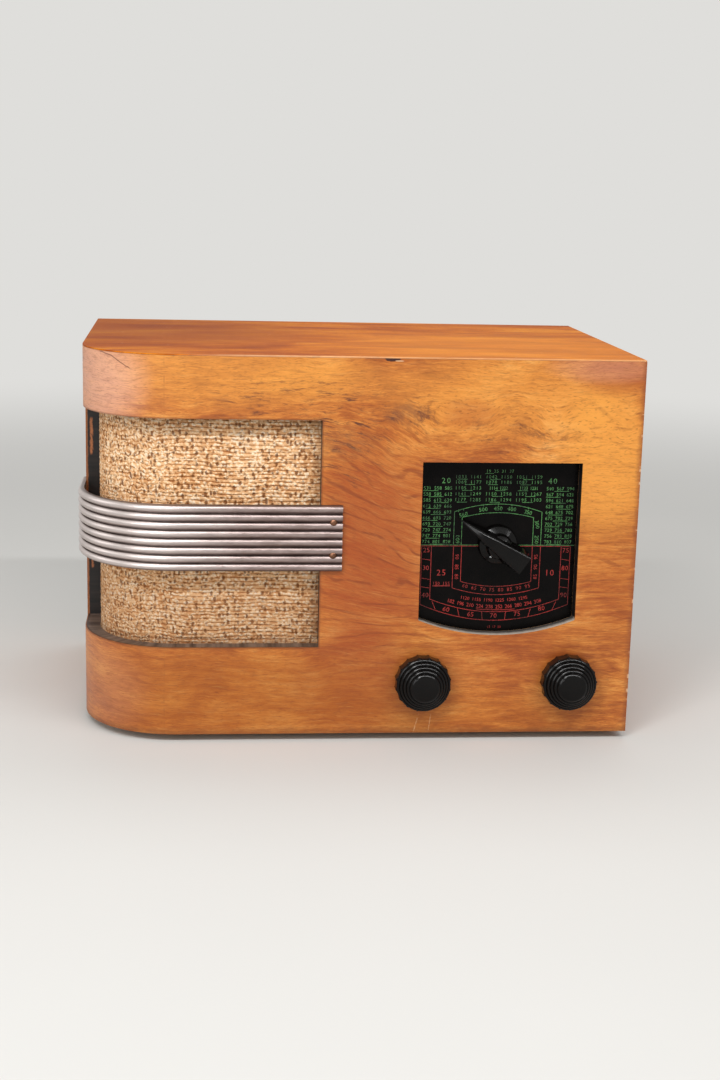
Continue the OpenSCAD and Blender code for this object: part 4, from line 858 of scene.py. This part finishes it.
def pointer_knob():
    """Pointer knob: two stepped shoulders with sloping rims, and a bar that narrows from its tail
    to its tip. The bar's front comes down towards the tip by a square law, a sloping rim follows
    both of its edges, and its half-width grows to the foot with the power 1.3 of the way down."""
    corners = [(3.05, 0), (11.8, 0), (12.6, 1.2), (12.1, 3.2), (8.3, 5.7), (7.9, 6.4), (7.4, 9.6),
               (4.6, 11.5), (2, 13.4), (0, 13.4)]
    boss = turned(filleted(corners, [0.2, 0.3, 0.8, 0.9, 0.7, 0.4, 0.8, 1.2, 1], 6), 96)

    tail, tip, tip_foot = -18.5, 31, 26
    along = np.linspace(0, 1, 70)[:, None]
    front_x = tail + along * (tip - tail)
    foot_x = tail + along * (tip_foot - tail)
    towards_tip = np.maximum((along - 0.3) / 0.7, 0)
    front_z = 17 - 8 * towards_tip ** 2
    front_half = 6.2 * (1 - along) ** 0.9 + 0.25
    foot_half = np.maximum(7.5 * (1 - towards_tip ** 1.3), front_half + 0.5)
    rim = np.minimum(1.3, 0.55 * front_half)
    rim_z = front_z - 0.65 * rim

    # One section of the bar for each step along it: flank, rim, level front, rim, flank
    down = np.array([1, 0.9, 0.75, 0.55, 0.3, 0.1, 0.03, 0])[None, :]
    flank_half = front_half + (foot_half - front_half) * down ** 1.3
    flank = np.stack([front_x + (foot_x - front_x) * down, flank_half, rim_z - (rim_z - 4) * down], -1)
    level = (front_half - rim) * np.array([1, 0.6, 0.2, -0.2, -0.6, -1])[None, :]
    rim_y = front_half - rim * np.array([0.3, 0.66])[None, :]
    rim_down = front_z - rim * np.array([0.422, 0.188])[None, :]
    across = np.hstack([rim_y, level, -rim_y[:, ::-1]])
    height = np.hstack([rim_down, front_z - 0.02 * level ** 2 / front_half, rim_down[:, ::-1]])
    face = np.stack([front_x + 0 * across, across, height], -1)
    section = np.hstack([flank, face, (flank * [1, -1, 1])[:, ::-1]])
    rows, columns = section.shape[:2]
    faces = grid_faces(rows, columns, ring=True).tolist()
    faces += [list(range(columns)), list(range((rows - 1) * columns, rows * columns))]
    bar = section.reshape(-1, 3), faces

    points, faces = put_together([boss, bar])
    points = facing_front(points, (DIAL_X, GLASS_Y - 0.8, SHAFT_Z), 180 - POINTER_TURN)
    knob = make_piece("pointer_knob", points, faces, FINISH["bakelite"], "bakelite", "tuning",
                      closed=True, replaces=["tuning_knob"])
    round_edges(knob, 0.16, angle=24)


def nail_heads():
    """Round-headed nails of the band, two at each end: a head's height over its radius is a
    quarter ellipse, and a shank runs back into the wood."""
    a = np.linspace(0, math.pi / 2, 9)
    dome = np.stack([2.6 * np.cos(a), 1 + 2.1 * np.sin(a)], -1)
    profile = np.concatenate([[[0, -6], [0.7, -5], [0.85, -4], [0.85, 0.1], [2.4, 0.1]], dome])
    profile[-1, 0] = 0
    form, faces = turned(profile, 28)
    parts = []
    for z in (BAND_Z - NAIL_UP, BAND_Z + NAIL_UP):
        parts.append((facing_front(form, (GRILLE_RIGHT + NAIL_BESIDE, -NAIL_OUT, z)), faces))
        aside = (CORNER_X - CORNER_R - NAIL_OUT, GRILLE_SIDE + NAIL_BESIDE, z)
        parts.append((form[:, [2, 0, 1]] * [-1, 1, 1] + aside, faces))
    points, faces = put_together(parts)
    make_piece("round_head_nails", points, faces, NAILS, "brass", closed=True, replaces=["trim_nails"])


# Dial print


def digit_forms():
    """The outlines of the ten digits as flat faces one unit high, with the width each takes."""
    forms = []
    for digit in "0123456789":
        curve = bpy.data.curves.new("digit", "FONT")
        curve.body = digit
        curve.resolution_u = 2
        text = added("digit", curve)
        bpy.context.view_layer.update()
        mesh = bpy.data.meshes.new_from_object(text)
        points = np.array([v.co[:] for v in mesh.vertices])
        faces = [list(p.vertices) for p in mesh.polygons]
        low, high = points.min(0), points.max(0)
        wide, tall = (high - low)[:2]
        forms.append(((points - [low[0], low[1], 0]) / tall, faces, wide / tall))
        bpy.data.objects.remove(text)
        bpy.data.meshes.remove(mesh)
        bpy.data.curves.remove(curve)
    return forms


def number(forms, value, x, z, height, turn):
    """The digits of a number, centred on a place of the dial and turned about it."""
    gap = 0.25
    parts, width = [], 0
    for digit in str(value):
        points, faces, wide = forms[int(digit)]
        parts.append((points * [1, 1, 0] + [width, 0, 0], faces))
        width += wide * (1 + gap)
    points, faces = put_together(parts)
    points = (points - [(width - gap * wide) / 2, 0.5, 0]) * height
    return on_dial(points, math.radians(turn), x, z), faces


def on_dial(points, turn, x, z):
    """Flat points turned by an angle and set on a place of the dial."""
    c, s = math.cos(turn), math.sin(turn)
    return np.stack([c * points[:, 0] - s * points[:, 1] + x, np.full(len(points), PRINT_Y),
                     s * points[:, 0] + c * points[:, 1] + z], -1)


def rule(line, width):
    """A printed line along corner points: each end and corner moves sideways by half the width."""
    line = np.asarray(line, float)
    way = np.gradient(line, axis=0)
    way /= np.linalg.norm(way, axis=1)[:, None]
    side = np.stack([-way[:, 1], way[:, 0]], -1) * width / 2
    both = np.stack([line + side, line - side], 1).reshape(-1, 2)
    points = np.stack([both[:, 0], np.full(len(both), PRINT_Y), both[:, 1]], -1)
    return points, grid_faces(len(line), 2)


def bow(x_from, x_to, z_ends, z_middle, width):
    """A shallow arc: the height follows a parabola from its ends to its middle."""
    x = np.linspace(x_from, x_to, 24)
    t = (x - (x_from + x_to) / 2) / ((x_to - x_from) / 2)
    return rule(np.stack([x, z_middle + (z_ends - z_middle) * t ** 2], -1), width)


def run_of_figures(forms, figures, x_from, x_to, z_ends, height, bend):
    """Figures set evenly between two places of the dial, along a bow that is lowest in its middle."""
    parts = []
    middle, half = (x_from + x_to) / 2, (x_to - x_from) / 2
    for i, digit in enumerate(figures):
        if digit == " ":
            continue
        points, faces, wide = forms[int(digit)]
        t = (i + 0.5) / len(figures) * 2 - 1
        flat = (points - [wide / 2, 0.5, 0]) * height
        turn = math.atan(2 * bend * t / half)
        parts.append((on_dial(flat, turn, middle + half * t, z_ends - bend * (1 - t * t)), faces))
    return put_together(parts)


def counted(first, step, count):
    """Numbers a step apart, with a gap between them."""
    return " ".join(str(first + step * i) for i in range(count))


def dial_print():
    """Plain numbers in columns, two framed scales round the pointer and one along the bow. Places
    on the dial are given from the pointer's shaft sideways and from the cabinet's underside up."""
    forms = digit_forms()
    c, split = DIAL_X, 121.1

    def stroke(store, a, b, width):
        store.append(rule([(c + a[0], a[1]), (c + b[0], b[1])], width))

    def framed(store, x_from, x_to, z_corner, z_middle):
        for x in (x_from, x_to):
            stroke(store, (x, split), (x, z_corner), 0.36)
        store.append(bow(c + x_from, c + x_to, z_corner, z_middle, 0.36))

    def row(store, figures, x_from, x_to, z, height, bend=0):
        store.append(run_of_figures(forms, figures, c + x_from, c + x_to, z, height, bend))

    # Upper half, green: the frame with its numbers, and ticks across its upper bow
    green = []
    framed(green, -23.1, 22.7, 139.2, 142.3)
    framed(green, -28.1, 27.9, 142.8, 147.9)
    stroke(green, (-49.6, split + 0.2), (49.6, split + 0.2), 0.34)
    for value, x, z, turn in ((560, -22.4, 141, 16), (500, -9.8, 144.3, 7), (450, -0.3, 145, 0),
                              (400, 8.4, 144.7, -6), (350, 19, 142.6, -14), (300, 25.2, 134.7, -78),
                              (250, 25.2, 125, -90), (600, -25.6, 125, 90)):
        green.append(number(forms, value, c + x, z, 2.5, turn))
        if turn > -70:
            top = 147.9 - 5.1 * (x / 28) ** 2
            stroke(green, (x, top - 1), (x, top + 0.5), 0.34)
    # Columns of numbers beside and above the frame, each with a line under a part of it
    for i in range(10):
        z = 157.9 - 3.83 * i
        for side, x_from, x_to in ((0, -48.4, -30), (1, 30, 48)):
            row(green, counted(531 + 9 * (3 * i + side), 27, 3), x_from, x_to, z, 2.15)
            start = x_from + (i * 7 + side * 3) % 5 * 1.7
            stroke(green, (start, z - 1.65), (start + 9.5, z - 1.65), 0.3)
    row(green, "20", -37.4, -30.8, 162.8, 3.5)
    row(green, "40", 30.6, 37.2, 162.8, 3.5)
    row(green, counted(19, 6, 4), -9, 9, 169, 2)
    stroke(green, (-9.5, 167.4), (-4, 167.4), 0.3)
    for i, z in enumerate((165.3, 161.9, 158.1, 154.4, 150.6)):
        for j in range(3):
            x = -20 + 19.4 * j
            half = 6 if i == 2 and j > 0 else 8.6
            row(green, counted(1033 + 36 * i + 9 * j, 108, 2), x - half, x + half, z, 2.1)
            start = x - 7 + (i * 3 + j * 5) % 4 * 1.6
            stroke(green, (start, z - 1.6), (start + 6.5, z - 1.6), 0.3)

    # Lower half, red: two frames, the bowed scale with its ticks, and the marks at both sides
    red = []
    framed(red, -22.8, 22.7, 97.5, 94.3)
    framed(red, -28, 28, 93.3, 88.8)
    stroke(red, (-48.4, split - 0.5), (47.4, split - 0.5), 0.34)
    framed(red, -48.3, 47.3, 82.4, 71.9)
    framed(red, -42.1, 41.4, 85.9, 77.5)
    row(red, counted(60, 5, 8), -21.6, 22.6, 95, 2.3, 3)
    for value, x, z in ((60, -31.3, 79.2), (65, -15.5, 75.9), (70, -0.6, 75), (75, 14.7, 76.2),
                        (80, 30.4, 79.8)):
        red.append(number(forms, value, c + x, z, 3, x * 0.35))
    for x in (-39.5, -23.4, -8, 7, 22.6, 38.5):
        z = 74.6 + 9.4 * (x / 45) ** 2
        stroke(red, (x * 0.97, z - 2.7), (x * 1.03, z + 2.7), 0.32)
    sides = ((0, -45.2, -25.5, -90, "25", -38.6), (1, 44.4, 25.3, 90, "10", 31.2))
    for side, x, inner, turn, figures, start in sides:
        for i, z in enumerate((118, 106.4, 88.6)):
            red.append(number(forms, (25, 30, 40)[i] + 50 * side, c + x, z, 3, 0))
        for z in (112.2, 99.6, 94):
            stroke(red, (x - 2.6, z), (x + 2.6, z - 0.8), 0.32)
        for i, z in enumerate((113.6, 107, 100.6)):
            red.append(number(forms, 90 - 5 * i + 5 * side, c + inner, z, 2.3, turn))
        row(red, figures, start, start + 6.6, 103.3, 3.8)
    row(red, counted(150, 5, 2), -40.7, -29.5, 96.2, 2)
    stroke(red, (-40.7, 94.6), (-29.5, 94.6), 0.6)
    row(red, counted(1120, 35, 6), -22.5, 21, 87.2, 2.1, 2)
    row(red, counted(182, 14, 10), -30.8, 30, 85.2, 2.4, 4.3)
    red.append(bow(c - 12, c + 13, 79.4, 78.8, 0.34))
    row(red, counted(12, 5, 3), -4.6, 4.6, 67.6, 1.4)

    green_finish = print_colour("green_print", "24452a", "4f8d4b")
    make_piece("dial_green_print", *put_together(green), green_finish, "dial", smooth=False)
    red_finish = print_colour("red_print", "560f0e", "a82620")
    make_piece("dial_red_print", *put_together(red), red_finish, "dial", smooth=False)


# Room, light and camera


def room():
    """A pale floor, so wide that it reaches the horizon. The further off, the more evenly pale it
    shows, as the sky above it does."""
    radius = np.array([0.02, 0.5, 1.5, 4.0, 12.0, 40.0])
    points, faces = turned(np.stack([radius, 0 * radius], -1), 48)
    faces = faces[:, ::-1].tolist() + [list(range(48))]
    mesh = bpy.data.meshes.new("room_floor")
    mesh.from_pydata(points.tolist(), [], faces)
    floor = added("room_floor", mesh)
    close_up(mesh)
    f = Finish("pale_floor", Roughness=0.9, Specular_IOR_Level=0.0)
    x, y, z = f.place()
    cloud = f.cloud(x / 0.5, y / 0.5, z / 0.5, 3.0, 0.5)
    away = (x * x + y * y) ** 0.5
    lit = away.fall(0.45, 1.8)
    f.set(Base_Color=f.blend(lit, "000000", f.blend(cloud, "d3d2cf", "dad9d6")))
    f.set(Emission_Color=SKY, Emission_Strength=f.seen() * (1.0 - lit))
    mesh.materials.append(f.material)


def softbox(name, place, aim, width, height, power):
    light = bpy.data.lights.new(name, "AREA")
    light.shape = "RECTANGLE"
    light.size, light.size_y = width, height
    light.energy = power
    lamp = added(name, light)
    lamp.location = place
    lamp.rotation_mode = "QUATERNION"
    lamp.rotation_quaternion = (Vector(aim) - Vector(place)).to_track_quat("-Z", "Y")


def light_and_camera():
    """Sky, soft boxes and camera. The sky lights the radio at a share of its own brightness, and
    shows at full strength itself, in mirrors and through glass."""
    share = 0.43
    world = bpy.data.worlds.new("studio")
    world.use_nodes = True
    sky = world.node_tree.nodes["Background"]
    tree = Tree(world.node_tree)
    tree.feed(sky.inputs["Color"], SKY)
    tree.feed(sky.inputs["Strength"], tree.seen() * (1 - share) + share)
    bpy.context.scene.world = world

    # Place, aim, width and height in metres, and power in watts
    softbox("key", (-0.55, -1.05, 1.1), (0.02, 0, 0.14), 0.35, 0.35, 4.8)
    softbox("fill", (1.1, -1.3, 0.75), (0, 0, 0.12), 0.7, 0.7, 1)
    softbox("top", (0.1, 0.5, 1.5), (0, 0.1, 0.1), 1.0, 0.7, 5)
    softbox("long_strip", (0.55, -0.97, 1.2), (0.55, 0, 0.1), 2.5, 0.06, 16)
    softbox("left", (-1.6, 0.1, 0.6), (-0.1, 0, 0.1), 0.8, 0.8, 3)
    softbox("side", (-1.0, -1.1, 0.5), (-0.12, 0, 0.12), 0.4, 0.7, 4)
    softbox("glance", (-0.45, -1.45, 0.4), (0.09, 0, 0.12), 0.3, 0.3, 1.6)

    camera = bpy.data.cameras.new("camera")
    camera.sensor_width = 36.0
    camera.lens = 56.49
    camera.clip_start, camera.clip_end = 0.05, 50.0
    eye = added("camera", camera)
    yaw, pitch, roll = (math.radians(a) for a in (5.6746, 12.4234, 1.4046))
    turn = Matrix.Rotation(-yaw, 4, "Z") @ Matrix.Rotation(math.pi / 2 - pitch, 4, "X")
    turn = turn @ Matrix.Rotation(roll, 4, "Z")
    eye.matrix_world = Matrix.Translation((-0.10148, -1.13251, 0.35899)) @ turn
    bpy.context.scene.camera = eye


bpy.context.scene.view_settings.view_transform = "Standard"
dress_frame()
worn_cabinet_edges()
grille_sheet()
round_knobs()
pointer_knob()
nail_heads()
dial_print()
room()
light_and_camera()
